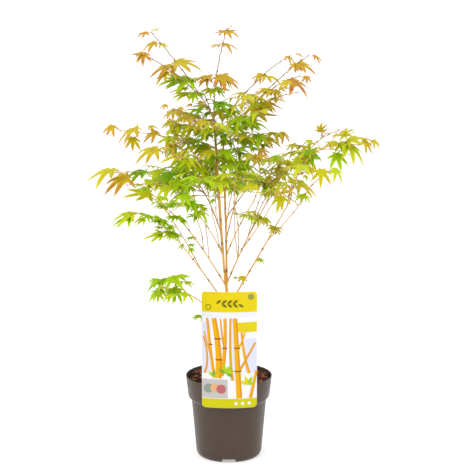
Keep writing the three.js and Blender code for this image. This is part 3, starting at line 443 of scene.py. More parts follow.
class Leaf:
    """A leaf's frame, in millimetres: the foot and way of its stalk, the middle of its palm, its
    midrib, side and upward directions, and its length."""

    def __init__(self, foot, heading, rise, stalk_share, length, tilt, roll):
        self.foot, self.length, self.tint = foot, length, 0.0
        self.way = way_of(heading, rise)
        self.palm = foot + self.way * stalk_share * length
        self.out = way_of(heading, -tilt)
        level = np.cross(UP, way_of(heading, 0))
        self.side = level * cos(roll) + np.cross(self.out, level) * sin(roll)
        self.up = np.cross(self.out, self.side)

    def point(self, turn, share):
        angle = radians(turn)
        flat = self.out * cos(angle) + self.side * sin(angle)
        return self.palm + (flat * share - self.up * LEAF.droop * share * share) * self.length

    def pieces(self, room=1.0):
        """The straight pieces that stand for the leaf when its room is tested."""
        rows = []
        for turn, share in LOBES:
            tip = self.point(turn, share)
            for start, end, half in LOBE_ROOM:
                a, b = between((self.palm, tip), start), between((self.palm, tip), end)
                rows.append([*a, *b, half * self.length * room])
        base = self.palm - self.out * LEAF.base_share * self.length
        rows.append([*self.palm, *base, LOBE_ROOM[0][2] * self.length * room])
        bare = between((self.foot, self.palm), LEAF.stalk_bare)
        rows.append([*self.palm, *bare, LEAF.stalk_radius * room])
        return np.array(rows)


def on_plane(points):
    """Where the camera sees points on the upright plane through the middle of the pot."""
    return EYE + (points - EYE) * (EYE[1] / (EYE[1] - points[..., 1:2]))


def at_depth(point, depth):
    """The place at a depth that the camera sees at a point of that plane."""
    return EYE + (point - EYE) * (EYE[1] - depth) / EYE[1]


def in_opening(*points):
    """Whether most of a leaf or twig would hang in one of the openings, as the camera sees it."""
    inside = 0
    for x, _, z in on_plane(np.array(points)):
        inside += any(left < x < right and low < z < high for left, right, low, high in OPENINGS)
    return inside >= OPEN_POINTS


class Shoot:
    """A leafy shoot: its curve, pairs of leaves, length of a leaf, tints at its foot and its tip,
    the share of older leaves that are side twigs instead, warmth, and the places of its pairs."""

    def __init__(self, bend, pairs, leaf, tints, twiggy=0, warmth=0):
        self.bend, self.pairs, self.leaf, self.tints = bend, pairs, leaf, tints
        self.twiggy, self.warmth = twiggy, warmth
        self.shares = pair_shares(pairs, warmth, bend.length())


class Plant:
    """The whole plant: limbs, each a curve with its radii, twigs, each a curve with its radii, its
    nodes and whether it is bare, leafy shoots and leaves."""

    def __init__(self):
        self.room = Room()
        self.limbs, self.bends = {}, {}
        self.twigs, self.shoots, self.leaves = [], [], []
        self.grow_limbs()
        self.grow_masses()
        self.grow_finer()

    def bend(self, start, tip, bow):
        """A curve from a point, or from a share of an earlier curve."""
        if start[0] in self.bends:
            start = self.bends[start[0]].at(start[1])
        return Bend(start, tip, bow)

    def grow_limbs(self):
        for name, start, tip, bow, radii in LIMBS:
            bend = self.bends[name] = self.bend(start, tip, bow)
            self.limbs[name] = bend, radii
            self.room.take(pieces_along(bend, radii, LIMB_STEPS))

    def grow_masses(self):
        """The stems go first, so that every leaf keeps clear of all of them."""
        for name, start, tip, bow, pairs, leaf, twiggy, warmth, tip_tint, foot_tint in FOLIAGE:
            bend = self.bends[name] = self.bend(start, tip, bow)
            self.room.take(pieces_along(bend, SHOOT.radii, SHOOT.rings))
            shoot = Shoot(bend, pairs, leaf, (foot_tint, tip_tint), twiggy, warmth)
            self.shoots.append(shoot)
            self.twigs.append((bend, SHOOT.radii, shoot.shares, False))
        self.sprigs = [self.bend(*row[:3]) for row in SPRIGS]
        self.place_free_leaves()
        for i, shoot in enumerate(self.shoots):
            self.fill(shoot, draws(SHOOT.first_seed + i), 1.0)

    def place_free_leaves(self):
        """Sets the free leaves, each with its stalk on the stem that the camera sees nearest to it."""
        shares = [i / FREE.steps for i in range(FREE.steps + 1)]
        bends = [*self.bends.values(), *self.sprigs]
        stems = np.array([bend.at(share) for bend in bends for share in shares])
        seen = on_plane(stems)
        draw = draws(FREE.seed)
        for x, z, tip_x, tip_z, tint in FREE_LEAVES:
            palm, tip = np.array((x, 0.0, z)), np.array((tip_x, 0.0, tip_z))
            reach = float(norm(tip - palm))
            start = palm - (tip - palm) * FREE.stalk
            foot = stems[np.argmin(np.hypot(seen[:, 0] - start[0], seen[:, 2] - start[2]))]
            hanging = (z - tip_z) * FREE.hanging > abs(tip_x - x)
            forward = FREE.hanging_forward if hanging else draw(*FREE.forward)
            way = unit(tip - palm + np.array((0.0, -forward * reach, FREE.sag * reach)))
            roll = draw(*FREE.roll) * (tip_x - x) / reach
            length = (reach * hypot(1, forward) + FREE.least) * (foot[1] - EYE[1]) / -EYE[1]
            heading, tilt = atan2(way[1], way[0]), -asin(way[2])
            leaf = Leaf(at_depth(palm, foot[1]), heading, 0, 0, length, tilt, roll)
            leaf.foot, leaf.tint = foot, tint / 100
            self.room.take(leaf.pieces())
            self.leaves.append(leaf)

    def fill(self, shoot, draw, room):
        """Fills a shoot's nodes with leaves and twigs."""
        bend = shoot.bend
        steep = unit(bend.tip - bend.start)[2] > SHOOT.steep_rise
        forward = 0 if steep else bend.heading()
        young = 1 - (1 - SHOOT.young_size) * shoot.warmth
        for i, share in enumerate(shoot.shares):
            node = Node(bend, share, AWAY if steep else UP)
            size = shoot.leaf * min(1, young + SHOOT.size_step * i)
            tint = between(shoot.tints, max(0, 1 - i / max(1, shoot.pairs - 1)))
            turn = pi / 2 + SHOOT.steep_turn * (i % 2) if steep else SHOOT.spread
            for hand in (-1, 1):
                branches = i >= SHOOT.first_twig and draw(0, 1) < shoot.twiggy
                place = self.place_twig if branches else self.place_leaf
                place(node, draw, forward + hand * turn, size, tint, room)

    def place_leaf(self, node, draw, heading, length, tint, room):
        """Tries a leaf until it finds room, each time a little smaller."""
        for i in range(LEAF.tries):
            tried = i / LEAF.tries
            swing = between(LEAF.swing, tried)
            turned = heading + draw(-swing, swing)
            rise, stalk_share, tilt = draw(*LEAF.rise), draw(*LEAF.stalk_share), draw(*LEAF.tilt)
            size, roll = length * (1 - LEAF.shrink * tried), draw(-LEAF.roll, LEAF.roll)
            leaf = Leaf(node.at, turned, rise, stalk_share, size, tilt, roll)
            face = node.free_face(leaf.way)
            pieces = leaf.pieces(room)
            shut = face < 0 or in_opening(leaf.palm, *(leaf.point(0, share) for share in LEAF.seen))
            if shut or self.room.touches(pieces):
                continue
            leaf.tint = tint
            node.taken.add(face)
            self.room.take(pieces)
            self.leaves.append(leaf)
            return True
        return False

    def place_twig(self, node, draw, heading, length, tint, room):
        """A side twig with leaves at its end, or a single leaf where there is no room for it."""
        turned = heading + draw(-TWIG.swing, TWIG.swing)
        way = way_of(turned, draw(*TWIG.rise))
        bend = Bend(node.at, node.at + way * draw(*TWIG.reach))
        face = node.free_face(way)
        pieces = pieces_along(bend, TWIG.radii, 1, TWIG.bare_share)
        if face < 0 or in_opening(bend.at(0.5), bend.tip) or self.room.touches(pieces):
            self.place_leaf(node, draw, heading, length, tint, room)
            return
        self.room.take(pieces)
        node.taken.add(face)
        end = Node(bend, TWIG.leaf_at, UP)
        self.twigs.append((bend, TWIG.radii, [TWIG.leaf_at], False))
        for turn in TWIG.turns:
            self.place_leaf(end, draw, turned + turn, length, tint, room)

    def grow_finer(self):
        """Adds the sprigs on the limbs, and then fine leafy twigs all along the shoots."""
        self.room.loosen(FINE.room)
        for i, (bend, (*_, pairs, leaf, tip_tint, foot_tint)) in enumerate(zip(self.sprigs, SPRIGS)):
            sprig = Shoot(bend, pairs, leaf, (foot_tint, tip_tint))
            self.grow_sprig(sprig, draws(FINE.first_seed - 1 - i), True)
        for i, (limb, span, count, tip_tint, foot_tint) in enumerate(INNER):
            draw = draws(INNER_TWIG.first_seed + i)
            self.grow_inner(self.bends[limb], span, count, (foot_tint, tip_tint), draw)
        for i, shoot in enumerate(self.shoots):
            self.grow_fine_twigs(shoot, draws(FINE.first_seed + i))

    def grow_sprig(self, sprig, draw, bare=False):
        self.twigs.append((sprig.bend, TWIG.radii, sprig.shares, bare))
        self.fill(sprig, draw, FINE.room)

    def grow_inner(self, limb, span, count, tints, draw):
        """Leafy side twigs turned evenly round a limb."""
        for i in range(count):
            at = limb.at(between(span, i / max(1, count - 1)))
            heading = i * INNER_TWIG.turn + draw(-INNER_TWIG.swing, INNER_TWIG.swing)
            reach = draw(*INNER_TWIG.reach)
            bend = Bend(at, at + way_of(heading, draw(*INNER_TWIG.rise)) * reach, INNER_TWIG.bow)
            pieces = pieces_along(bend, TWIG.radii, 2, TWIG.bare_share)
            if in_opening(bend.at(0.5), bend.tip) or self.room.touches(pieces):
                continue
            self.room.take(pieces)
            self.grow_sprig(Shoot(bend, INNER_TWIG.pairs, INNER_TWIG.leaf, tints), draw)

    def grow_fine_twigs(self, shoot, draw):
        """Fine side twigs between a shoot's pairs of leaves, each with one pair at its end."""
        forward, length = shoot.bend.heading(), shoot.bend.length()
        bare = 2 if shoot.warmth > FINE.bare_warmth else 1
        young = 1 - shoot.shares[min(bare, len(shoot.shares) - 1)]
        for step in range(int(length * (1 - young - FINE.foot) / FINE.spacing)):
            if draw(0, 1) > FINE.chance * (1 - shoot.warmth):
                continue
            share = FINE.foot + step * FINE.spacing / length
            hand = 1 if step % 2 else -1
            heading = forward + hand * draw(*FINE.spread) + draw(-FINE.swing, FINE.swing)
            way = way_of(heading, draw(*FINE.rise))
            at = shoot.bend.at(share)
            twig = Bend(at, at + way * draw(*FINE.reach), draw(*FINE.bow))
            pieces = pieces_along(twig, FINE.radii, 1, TWIG.bare_share)
            if self.room.touches(pieces):
                continue
            size = shoot.leaf * draw(*FINE.leaf_share)
            tint = between(shoot.tints, share) + draw(-FINE.tint_swing, FINE.tint_swing)
            node = Node(twig, TWIG.leaf_at, UP)
            turns = [heading + turn for turn in TWIG.turns]
            if any([self.place_leaf(node, draw, turn, size, tint, FINE.room) for turn in turns]):
                self.room.take(pieces)
                self.twigs.append((twig, FINE.radii, [TWIG.leaf_at], False))


def pair_shares(pairs, warmth, length):
    """The shares of a shoot's length at which its pairs of leaves stand, from the tip back."""
    shares = []
    back = SHOOT.tip_gap
    for i in range(pairs):
        if back >= length - SHOOT.bare_foot:
            break
        shares.append(1 - back / length)
        gap = SHOOT.even_gap if i else SHOOT.young_gap
        if i == 1:
            gap += (SHOOT.long_gap - SHOOT.even_gap) * warmth
        back += gap
    return shares


# ------------------------------------------------------------------ shader building
def srgb(*values):
    """A colour given by its 0 to 255 values on a screen, as Blender's linear values."""
    values = [each / 255 for each in values]
    return tuple(((each + 0.055) / 1.055) ** 2.4 if each > 0.04 else each / 12.92 for each in values)


class Tree:
    """A node tree under construction, with short calls to add and join nodes."""

    def __init__(self, tree):
        self.tree = tree

    def add(self, kind, settings=None, **inputs):
        node = self.tree.nodes.new(kind)
        for name, value in (settings or {}).items():
            setattr(node, name, value)
        self.feed(node, **inputs)
        return node

    def feed(self, node, **inputs):
        """Joins outputs to a node's inputs, or sets the inputs' own values."""
        for name, value in inputs.items():
            self.join(value, node.inputs[name.replace("_", " ")])

    def join(self, value, socket):
        if isinstance(value, bpy.types.NodeSocket):
            self.tree.links.new(value, socket)
        else:
            socket.default_value = value

    def math(self, operation, *values):
        node = self.add("ShaderNodeMath", {"operation": operation})
        for socket, value in zip(node.inputs, values):
            self.join(value, socket)
        return node.outputs[0]

    def mix(self, share, first, second):
        """A mix of two colours by a share."""
        node = self.add("ShaderNodeMix", {"data_type": "RGBA"})
        for i, value in ((0, share), (6, first), (7, second)):
            self.join(value, node.inputs[i])
        return node.outputs[2]

    def span(self, value, low, high, to_low=0.0, to_high=1.0):
        """A value carried from one span to another and kept within it."""
        node = self.add("ShaderNodeMapRange")
        for socket, each in zip(node.inputs, (value, low, high, to_low, to_high)):
            self.join(each, socket)
        return node.outputs[0]

    def place(self):
        """The piece's own place."""
        return self.add("ShaderNodeTexCoord").outputs["Object"]

    def noise(self, scale, detail=2.0):
        """A noise in the piece's own place."""
        return self.add("ShaderNodeTexNoise", Vector=self.place(), Scale=scale, Detail=detail).outputs[0]

    def bump(self, height, distance, strength):
        return self.add("ShaderNodeBump", Height=height, Distance=distance, Strength=strength).outputs[0]


class Surface(Tree):
    """The node tree of a new material."""

    def __init__(self, name):
        self.material = bpy.data.materials.new(name)
        self.material.use_nodes = True
        super().__init__(self.material.node_tree)

    def attribute(self, label):
        return self.add("ShaderNodeAttribute", {"attribute_name": label}).outputs["Fac"]

    def effect(self, made, **inputs):
        """The outputs of one of the shader groups."""
        return self.add("ShaderNodeGroup", {"node_tree": made}, **inputs).outputs

    def mottle(self, first, second, scale, spread):
        return self.effect(mottle_group(), First=(*first, 1), Second=(*second, 1), Scale=scale, Spread=spread)

    def relief(self, scale, depth, strength):
        return self.effect(relief_group(), Scale=scale, Depth=depth, Strength=strength)["Normal"]

    def gloss(self, scale, low, high):
        """An uneven gloss between two roughnesses."""
        return self.span(self.noise(scale), 0.3, 0.7, low, high)

    def shade(self, colour, roughness, normal=None, specular=0.5, **inputs):
        """Sets the inputs of the surface shader, and gives the finished material."""
        if normal is not None:
            inputs["Normal"] = normal
        colour = colour if isinstance(colour, bpy.types.NodeSocket) else (*colour, 1)
        shader = self.tree.nodes["Principled BSDF"]
        self.feed(shader, Base_Color=colour, Roughness=roughness, Specular_IOR_Level=specular, **inputs)
        return self.material


# The kinds of the shader groups' sockets. Those that aren't named here are plain numbers.
SOCKETS = {
    **dict.fromkeys(("First", "Second", "Color"), "NodeSocketColor"),
    **dict.fromkeys(("Stretch", "Normal"), "NodeSocketVector"),
}
WHITE = (1.0, 1.0, 1.0, 1.0)


def group(name, inputs, outputs, fill):
    """A shader group with named sockets, built once by the given function."""
    made = bpy.data.node_groups.get(name)
    if made:
        return made
    made = bpy.data.node_groups.new(name, "ShaderNodeTree")
    for way, labels in (("INPUT", inputs), ("OUTPUT", outputs)):
        for label in labels:
            kind = SOCKETS.get(label, "NodeSocketFloat")
            socket = made.interface.new_socket(label, in_out=way, socket_type=kind)
            if way == "INPUT":
                socket.default_value = inputs[label]
    tree = Tree(made)
    results = fill(tree, tree.add("NodeGroupInput").outputs)
    tree.feed(tree.add("NodeGroupOutput"), **dict(zip(outputs, results)))
    return made


def mottle_group():
    """Two colours mingled by a noise in the piece's own place, with the noise as a mask."""

    def fill(tree, given):
        low, high = (tree.math(operation, 0.5, given["Spread"]) for operation in ("SUBTRACT", "ADD"))
        mask = tree.span(tree.noise(given["Scale"], 5.0), low, high)
        return tree.mix(mask, given["First"], given["Second"]), mask

    inputs = {"First": WHITE, "Second": WHITE, "Scale": 100.0, "Spread": 0.2}
    return group("mottle", inputs, ("Color", "Mask"), fill)


def relief_group():
    """A fine uneven surface, as a normal, from two noises in the piece's own place."""

    def fill(tree, given):
        grain = tree.noise(tree.math("MULTIPLY", given["Scale"], 4.0))
        height = tree.math("MULTIPLY_ADD", grain, 0.4, tree.noise(given["Scale"], 3.0))
        return [tree.bump(height, given["Depth"], given["Strength"])]

    return group("relief", {"Scale": 400.0, "Depth": 0.0005, "Strength": 0.5}, ["Normal"], fill)


def speck_group():
    """Small round specks scattered over a surface, as a mask."""

    def fill(tree, given):
        stretch = tree.add("ShaderNodeMapping", Vector=tree.place(), Scale=given["Stretch"]).outputs[0]
        cells = tree.add("ShaderNodeTexVoronoi", Vector=stretch, Scale=given["Scale"]).outputs["Distance"]
        return [tree.span(cells, given["Size"], tree.math("MULTIPLY", given["Size"], 0.6))]

    return group("specks", {"Scale": 300.0, "Size": 0.2, "Stretch": (1.0, 1.0, 1.0)}, ["Mask"], fill)


def leaf_vein_group():
    """The raised main veins and the ribs between them, as a normal, from the leaf's own plane."""

    def fill(tree, given):
        plane = tree.add("ShaderNodeUVMap", {"uv_map": LEAF_PLANE}).outputs[0]
        parts = tree.add("ShaderNodeSeparateXYZ", Vector=plane).outputs
        along, across = (tree.math("SUBTRACT", parts[i], 0.5) for i in (0, 1))
        turn = tree.math("ARCTAN2", across, along)
        square = tree.math("MULTIPLY_ADD", along, along, tree.math("MULTIPLY", across, across))
        reach = tree.math("SQRT", square)
        lobe = tree.math("MULTIPLY", tree.math("ROUND", tree.math("DIVIDE", turn, LOBE_TURN)), LOBE_TURN)
        aside = tree.math("SINE", tree.math("SUBTRACT", turn, lobe))
        off = tree.math("ABSOLUTE", tree.math("MULTIPLY", aside, reach))
        ribs = tree.math("SINE", tree.math("MULTIPLY", tree.math("SUBTRACT", reach, off), given["Ribs"]))
        height = tree.math("MULTIPLY_ADD", ribs, 0.12, tree.span(off, 0.0, 0.012, 1.0, 0.0))
        return [tree.bump(height, 0.0004, given["Strength"])]

    return group("leaf_veins", {"Ribs": 190.0, "Strength": 0.6}, ["Normal"], fill)


def mottled(name, first, second, scale, spread, roughness, relief, specular=0.5):
    """A surface of two mingled colours with an uneven gloss and a fine relief.

    roughness is its two ends, and relief the noise scale, the depth and the strength."""
    surface = Surface(name)
    mottle = surface.mottle(first, second, scale, spread)
    gloss = surface.span(mottle["Mask"], 0.0, 1.0, *roughness)
    return surface.shade(mottle["Color"], gloss, surface.relief(*relief), specular)


def plain_tint(name, colour, roughness, relief, specular=0.5):
    """A surface of one base colour with an uneven gloss and a fine relief, for small joined things."""
    surface = Surface(name)
    return surface.shade(colour, surface.gloss(relief[0], *roughness), surface.relief(*relief), specular)


# ------------------------------------------------------------------ mesh building
def set_mode(mode):
    bpy.ops.object.mode_set(mode=mode)


def start_piece():
    """Leaves object mode with nothing selected, ready for a new primitive."""
    if bpy.context.object and bpy.context.object.mode != "OBJECT":
        set_mode("OBJECT")
    bpy.ops.object.select_all(action="DESELECT")


def only(piece):
    """Makes a piece the active and only selected object."""
    start_piece()
    bpy.context.view_layer.objects.active = piece
    piece.select_set(True)


def apply_place(piece):
    only(piece)
    bpy.ops.object.transform_apply(location=True, rotation=True, scale=True)


def apply_modifier(piece, kind, **settings):
    """Adds a modifier to a piece and applies it at once."""
    only(piece)
    modifier = piece.modifiers.new(kind.lower(), kind)
    for name, value in settings.items():
        setattr(modifier, name, value)
    bpy.ops.object.modifier_apply(modifier=modifier.name)


def edit(piece, action="SELECT", kind="VERT"):
    """Opens a piece in edit mode with all or nothing of it selected."""
    only(piece)
    set_mode("EDIT")
    bpy.ops.mesh.select_mode(type=kind)
    bpy.ops.mesh.select_all(action=action)


def cut(place, normal):
    """Cuts the whole piece that is in edit mode along a plane."""
    bpy.ops.mesh.select_all(action="SELECT")
    bpy.ops.mesh.bisect(plane_co=place, plane_no=normal)


def clean(piece, distance=1e-6):
    """Merges the doubles of a piece and turns its faces outward."""
    edit(piece)
    bpy.ops.mesh.remove_doubles(threshold=distance)
    bpy.ops.mesh.normals_make_consistent(inside=False)
    set_mode("OBJECT")


def join(first, *others):
    """Joins other pieces to the first one."""
    only(first)
    for piece in others:
        piece.select_set(True)
    bpy.ops.object.join()


def smooth(piece, angle):
    only(piece)
    bpy.ops.object.shade_smooth_by_angle(angle=angle)


def finish_piece(piece, name, slot, materials, *nodes):
    """Names a piece, gives it its materials and sets it in the frame in place of CAD nodes."""
    piece.name = name
    piece.data.name = name
    for each in materials:
        piece.data.materials.append(each)
    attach(piece, "root")
    if nodes:
        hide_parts(*nodes)


def mesh_piece(name, points, faces, kinds):
    """A joined mesh of many small things: points in metres, faces, and the material of each."""
    mesh = bpy.data.meshes.new(name)
    mesh.from_pydata(points, [], faces)
    mesh.polygons.foreach_set("material_index", kinds)
    mesh.update()
    piece = bpy.data.objects.new(name, mesh)
    bpy.context.scene.collection.objects.link(piece)
    return piece


class Heap:
    """Points, faces and kinds of many small things, gathered for one joined mesh."""

    def __init__(self):
        self.points, self.faces, self.kinds, self.count = [], [], [], 0

    def add(self, points, faces, kinds):
        self.points.append(points)
        self.faces.extend([tuple(corner + self.count for corner in face) for face in faces])
        self.kinds.extend(kinds if hasattr(kinds, "__len__") else [kinds] * len(faces))
        self.count += len(points)

    def finish(self, name, slot, materials, angle=None):
        """Makes the joined piece, shaded smooth up to an angle where one is given."""
        piece = mesh_piece(name, np.vstack(self.points), self.faces, self.kinds)
        if angle:
            smooth(piece, angle)
        finish_piece(piece, name, slot, materials)


def tube_faces(rings, sides):
    """The quads between rings of corners in order, and the faces that close the two ends."""
    quads = []
    for i in range(rings - 1):
        for j in range(sides):
            k = (j + 1) % sides
            quads.append((i * sides + j, i * sides + k, (i + 1) * sides + k, (i + 1) * sides + j))
    return quads, tuple(range(sides - 1, -1, -1)), tuple((rings - 1) * sides + j for j in range(sides))


def tube(points, radii, sides):
    """A round tube through points in order, closed at both ends, as its own points and faces."""
    points = np.asarray(points, float)
    ahead = np.gradient(points, axis=0)
    ahead /= norm(ahead, axis=1)[:, None]
    side = np.cross(guide_across(ahead[0]), ahead)
    side /= norm(side, axis=1)[:, None]
    other = np.cross(ahead, side)
    turns = 2 * pi * np.arange(sides) / sides
    ring = np.cos(turns)[None, :, None] * side[:, None, :] + np.sin(turns)[None, :, None] * other[:, None, :]
    rings = points[:, None, :] + ring * np.asarray(radii, float)[:, None, None]
    quads, foot, end = tube_faces(len(points), sides)
    return rings.reshape(-1, 3), [*quads, foot, end]


def rounded(corners, radius, steps=3):
    """A profile of [radius, height] corners with each inner corner rounded by an arc."""
    corners = [np.array(each, float) for each in corners]
    made = corners[:1]
    for before, corner, after in zip(corners, corners[1:], corners[2:]):
        back, ahead = before - corner, after - corner
        reach = min(radius, norm(back) / 2.2, norm(ahead) / 2.2)
        first, last = corner + unit(back) * reach, corner + unit(ahead) * reach
        for i in range(steps + 1):
            t = i / steps
            made.append((1 - t) ** 2 * first + 2 * t * (1 - t) * corner + t * t * last)
    return made + corners[-1:]


def turned(rings, sides):
    """A closed turned piece, by extruding a disc through [radius, height] rings."""
    start_piece()
    radius, height = rings[0]
    at = (0, 0, height)
    bpy.ops.mesh.primitive_circle_add(vertices=sides, radius=radius, fill_type="NGON", location=at)
    piece = bpy.context.object
    apply_place(piece)
    edit(piece, kind="FACE")
    for (radius, height), (next_radius, next_height) in zip(rings, rings[1:]):
        bpy.ops.mesh.extrude_region_move(TRANSFORM_OT_translate={"value": (0, 0, next_height - height)})
        factor = next_radius / radius
        bpy.ops.transform.resize(value=(factor, factor, 1), center_override=(0, 0, next_height))
    set_mode("OBJECT")
    clean(piece)
    return piece


# ------------------------------------------------------------------ the fields of the settings
def length_field(name, description, default):
    return FloatProperty(name=name, description=description, default=default, unit="LENGTH")


def turn_field(name, description, degrees):
    return FloatProperty(name=name, description=description, default=radians(degrees), unit="ROTATION")


def colour_field(name, description, default):
    return FloatVectorProperty(name=name, description=description, default=default, subtype="COLOR", size=3)


# ------------------------------------------------------------------ the pot
class PotSettings(bpy.types.PropertyGroup):
    """Sizes and colours of the pot, in metres."""

    rim_radius: length_field("Rim radius", "Radius at the rim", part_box("pot")[1].x)
    height: length_field("Height", "Height of the pot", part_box("pot")[1].z)
    collar_height: length_field("Collar height", "Height of the wide collar", 0.0465)
    collar_foot_radius: length_field("Collar foot", "Radius at the foot of the collar", 0.0905)
    step_height: length_field("Step height", "Height of the slope below the collar", 0.008)
    wall_top_radius: length_field("Wall top", "Radius at the top of the wall", 0.0835)
    wall_foot_radius: length_field("Wall foot", "Radius at the foot of the wall", 0.073)
    wall: length_field("Wall", "Thickness of the wall", 0.002)
    colour: colour_field("Plastic", "Colour of the plastic", srgb(65, 51, 42))
    worn_colour: colour_field("Worn plastic", "Colour where it is dusty", srgb(72, 58, 49))


POT_SIDES = 96
POT_FOOT = ((0.0658, 0.0), (0.0698, 0.0022))
POT_FLOOR = 0.009
# The radius at which the floor of the pot is closed, and the rounding of its corners.
POT_MIDDLE, POT_ROUNDING = 0.02, 0.0011
POT_DUST = srgb(128, 116, 104)
NOTCH = SimpleNamespace(
    count=4, width=0.033, narrow=27 / 33, low=-0.001, height=0.0088, inner=0.026, depth=0.06,
)


def pot_profile(pot):
    """The outside of the pot above its foot, as [radius, height] corners."""
    step_top = pot.height - pot.collar_height
    return (
        (pot.wall_foot_radius, POT_FLOOR),
        (pot.wall_top_radius, step_top - pot.step_height),
        (pot.collar_foot_radius, step_top),
        (pot.rim_radius, pot.height),
    )


def inside_radius(pot, height):
    """The inside radius of the pot at a height above its floor."""
    radii, heights = zip(*pot_profile(pot))
    return float(np.interp(height, heights, radii)) - pot.wall


def pot_plastic(pot):
    """Matt grey-brown moulded plastic, a little dusty, with a fine uneven relief."""
    surface = Surface("pot_plastic")
    mottle = surface.mottle(pot.colour, pot.worn_colour, 22.0, 0.28)
    specks = surface.effect(speck_group(), Scale=260.0, Size=0.13, Stretch=(1.0, 1.0, 0.4))
    cloud = surface.effect(mottle_group(), Scale=9.0, Spread=0.1)
    dust = surface.math("MULTIPLY", specks["Mask"], cloud["Mask"])
    colour = surface.mix(surface.math("MULTIPLY", dust, 0.55), mottle["Color"], (*POT_DUST, 1))
    gloss = surface.span(mottle["Mask"], 0.0, 1.0, 0.3, 0.44)
    return surface.shade(colour, gloss, surface.relief(900.0, 0.0002, 0.35), 0.3)


def notch_cutter(turn):
    """A wedge that is narrower above, for one drainage notch."""
    start_piece()
    low, high = NOTCH.low, NOTCH.height
    middle = NOTCH.inner + NOTCH.depth / 2
    bpy.ops.mesh.primitive_cube_add(size=1, location=(0, -middle, (high + low) / 2))
    cutter = bpy.context.object
    cutter.scale = (NOTCH.width, NOTCH.depth, high - low)
    apply_place(cutter)
    edit(cutter, "DESELECT")
    set_mode("OBJECT")
    for corner in cutter.data.vertices:
        corner.select = corner.co.z > 0
    set_mode("EDIT")
    bpy.ops.transform.resize(value=(NOTCH.narrow, 1, 1), center_override=(0, -middle, high))
    set_mode("OBJECT")
    cutter.rotation_euler.z = turn
    apply_place(cutter)
    return cutter


class MAPLE_OT_pot(bpy.types.Operator):
    """Turn the pot with its stepped collar and rim, and cut the drainage notches in its foot"""

    bl_idname = "maple.pot"
    bl_label = "Pot"

    def execute(self, context):
        pot = context.scene.maple_pot
        outside = pot_profile(pot)
        inside = [(inside_radius(pot, z), z) for _, z in reversed(outside)]
        corners = [*POT_FOOT, *outside, *inside, (POT_MIDDLE, POT_FLOOR)]
        piece = turned(rounded(corners, POT_ROUNDING), POT_SIDES)
        for i in range(NOTCH.count):
            cutter = notch_cutter(i * 2 * pi / NOTCH.count)
            apply_modifier(piece, "BOOLEAN", operation="DIFFERENCE", object=cutter, solver="EXACT")
            bpy.data.objects.remove(cutter)
        clean(piece)
        smooth(piece, 0.5)
        finish_piece(piece, "nursery_pot", "pot_plastic", [pot_plastic(pot)], "pot")
        return {"FINISHED"}


# ------------------------------------------------------------------ the potting mix
class SoilSettings(bpy.types.PropertyGroup):
    """Sizes and colours of the potting mix, in metres."""

    top: length_field("Top", "Height of the surface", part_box("soil")[1].z - 0.002)
    chips: IntProperty(name="Bark chips", description="How many chips lie on top", default=520, min=0)
    chip_length: length_field("Chip length", "Length of the largest chips", 0.021)
    peat: colour_field("Peat", "Colour of the peat", srgb(46, 28, 18))
    dry_peat: colour_field("Dry peat", "Colour of the dry peat", srgb(84, 55, 36))


# The peat: its distance from the wall, the drop at its edge, and the rings of its surface.
PEAT = SimpleNamespace(clear=0.0006, edge=0.004, rings=22, heap_size=0.012, heap_height=0.006, level=0.75)
CHIP_TINTS = (
    ("chip_red_brown", srgb(122, 66, 38)),
    ("chip_brown", srgb(92, 56, 34)),
    ("chip_dark", srgb(52, 30, 20)),
    ("chip_tan", srgb(158, 104, 66)),
)
CHIP_SHARES = (0.34, 0.3, 0.22, 0.14)
CHIP_CORNERS = 7
CHIP_SEED = 31
# How far below and above the surface a chip lies.
CHIP_LIFT = (-0.001, 0.006)


def chip(rng, length):
    """One bark chip: a flat seven-sided flake with a worn edge."""
    turns = 2 * pi * (np.arange(CHIP_CORNERS) + rng.uniform(-0.3, 0.3, CHIP_CORNERS)) / CHIP_CORNERS
    width = length * rng.uniform(0.35, 0.75)
    thick = width * rng.uniform(0.22, 0.5)
    reach = rng.uniform(0.8, 1.1, CHIP_CORNERS)
    plan = np.column_stack([np.cos(turns) * length / 2 * reach, np.sin(turns) * width / 2 * reach])
    rings = []
    for share, height in ((0.82, -0.5), (1.0, 0.0), (0.78, 0.5)):
        lift = height * thick + rng.normal(0, thick * 0.07, CHIP_CORNERS)
        rings.append(np.column_stack([plan * share, lift]))
    quads, foot, end = tube_faces(len(rings), CHIP_CORNERS)
    return np.vstack(rings), [foot, *quads, end]


def turn_matrix(heading, tilt, lean):
    """A turn by tilt and lean, and then by a heading round the upright axis."""
    c, s = cos(heading), sin(heading)
    spin = np.array(((c, -s, 0), (s, c, 0), (0, 0, 1)))
    c, s = cos(tilt), sin(tilt)
    tip = np.array(((1, 0, 0), (0, c, -s), (0, s, c)))
    c, s = cos(lean), sin(lean)
    return spin @ tip @ np.array(((c, 0, s), (0, 1, 0), (-s, 0, c)))


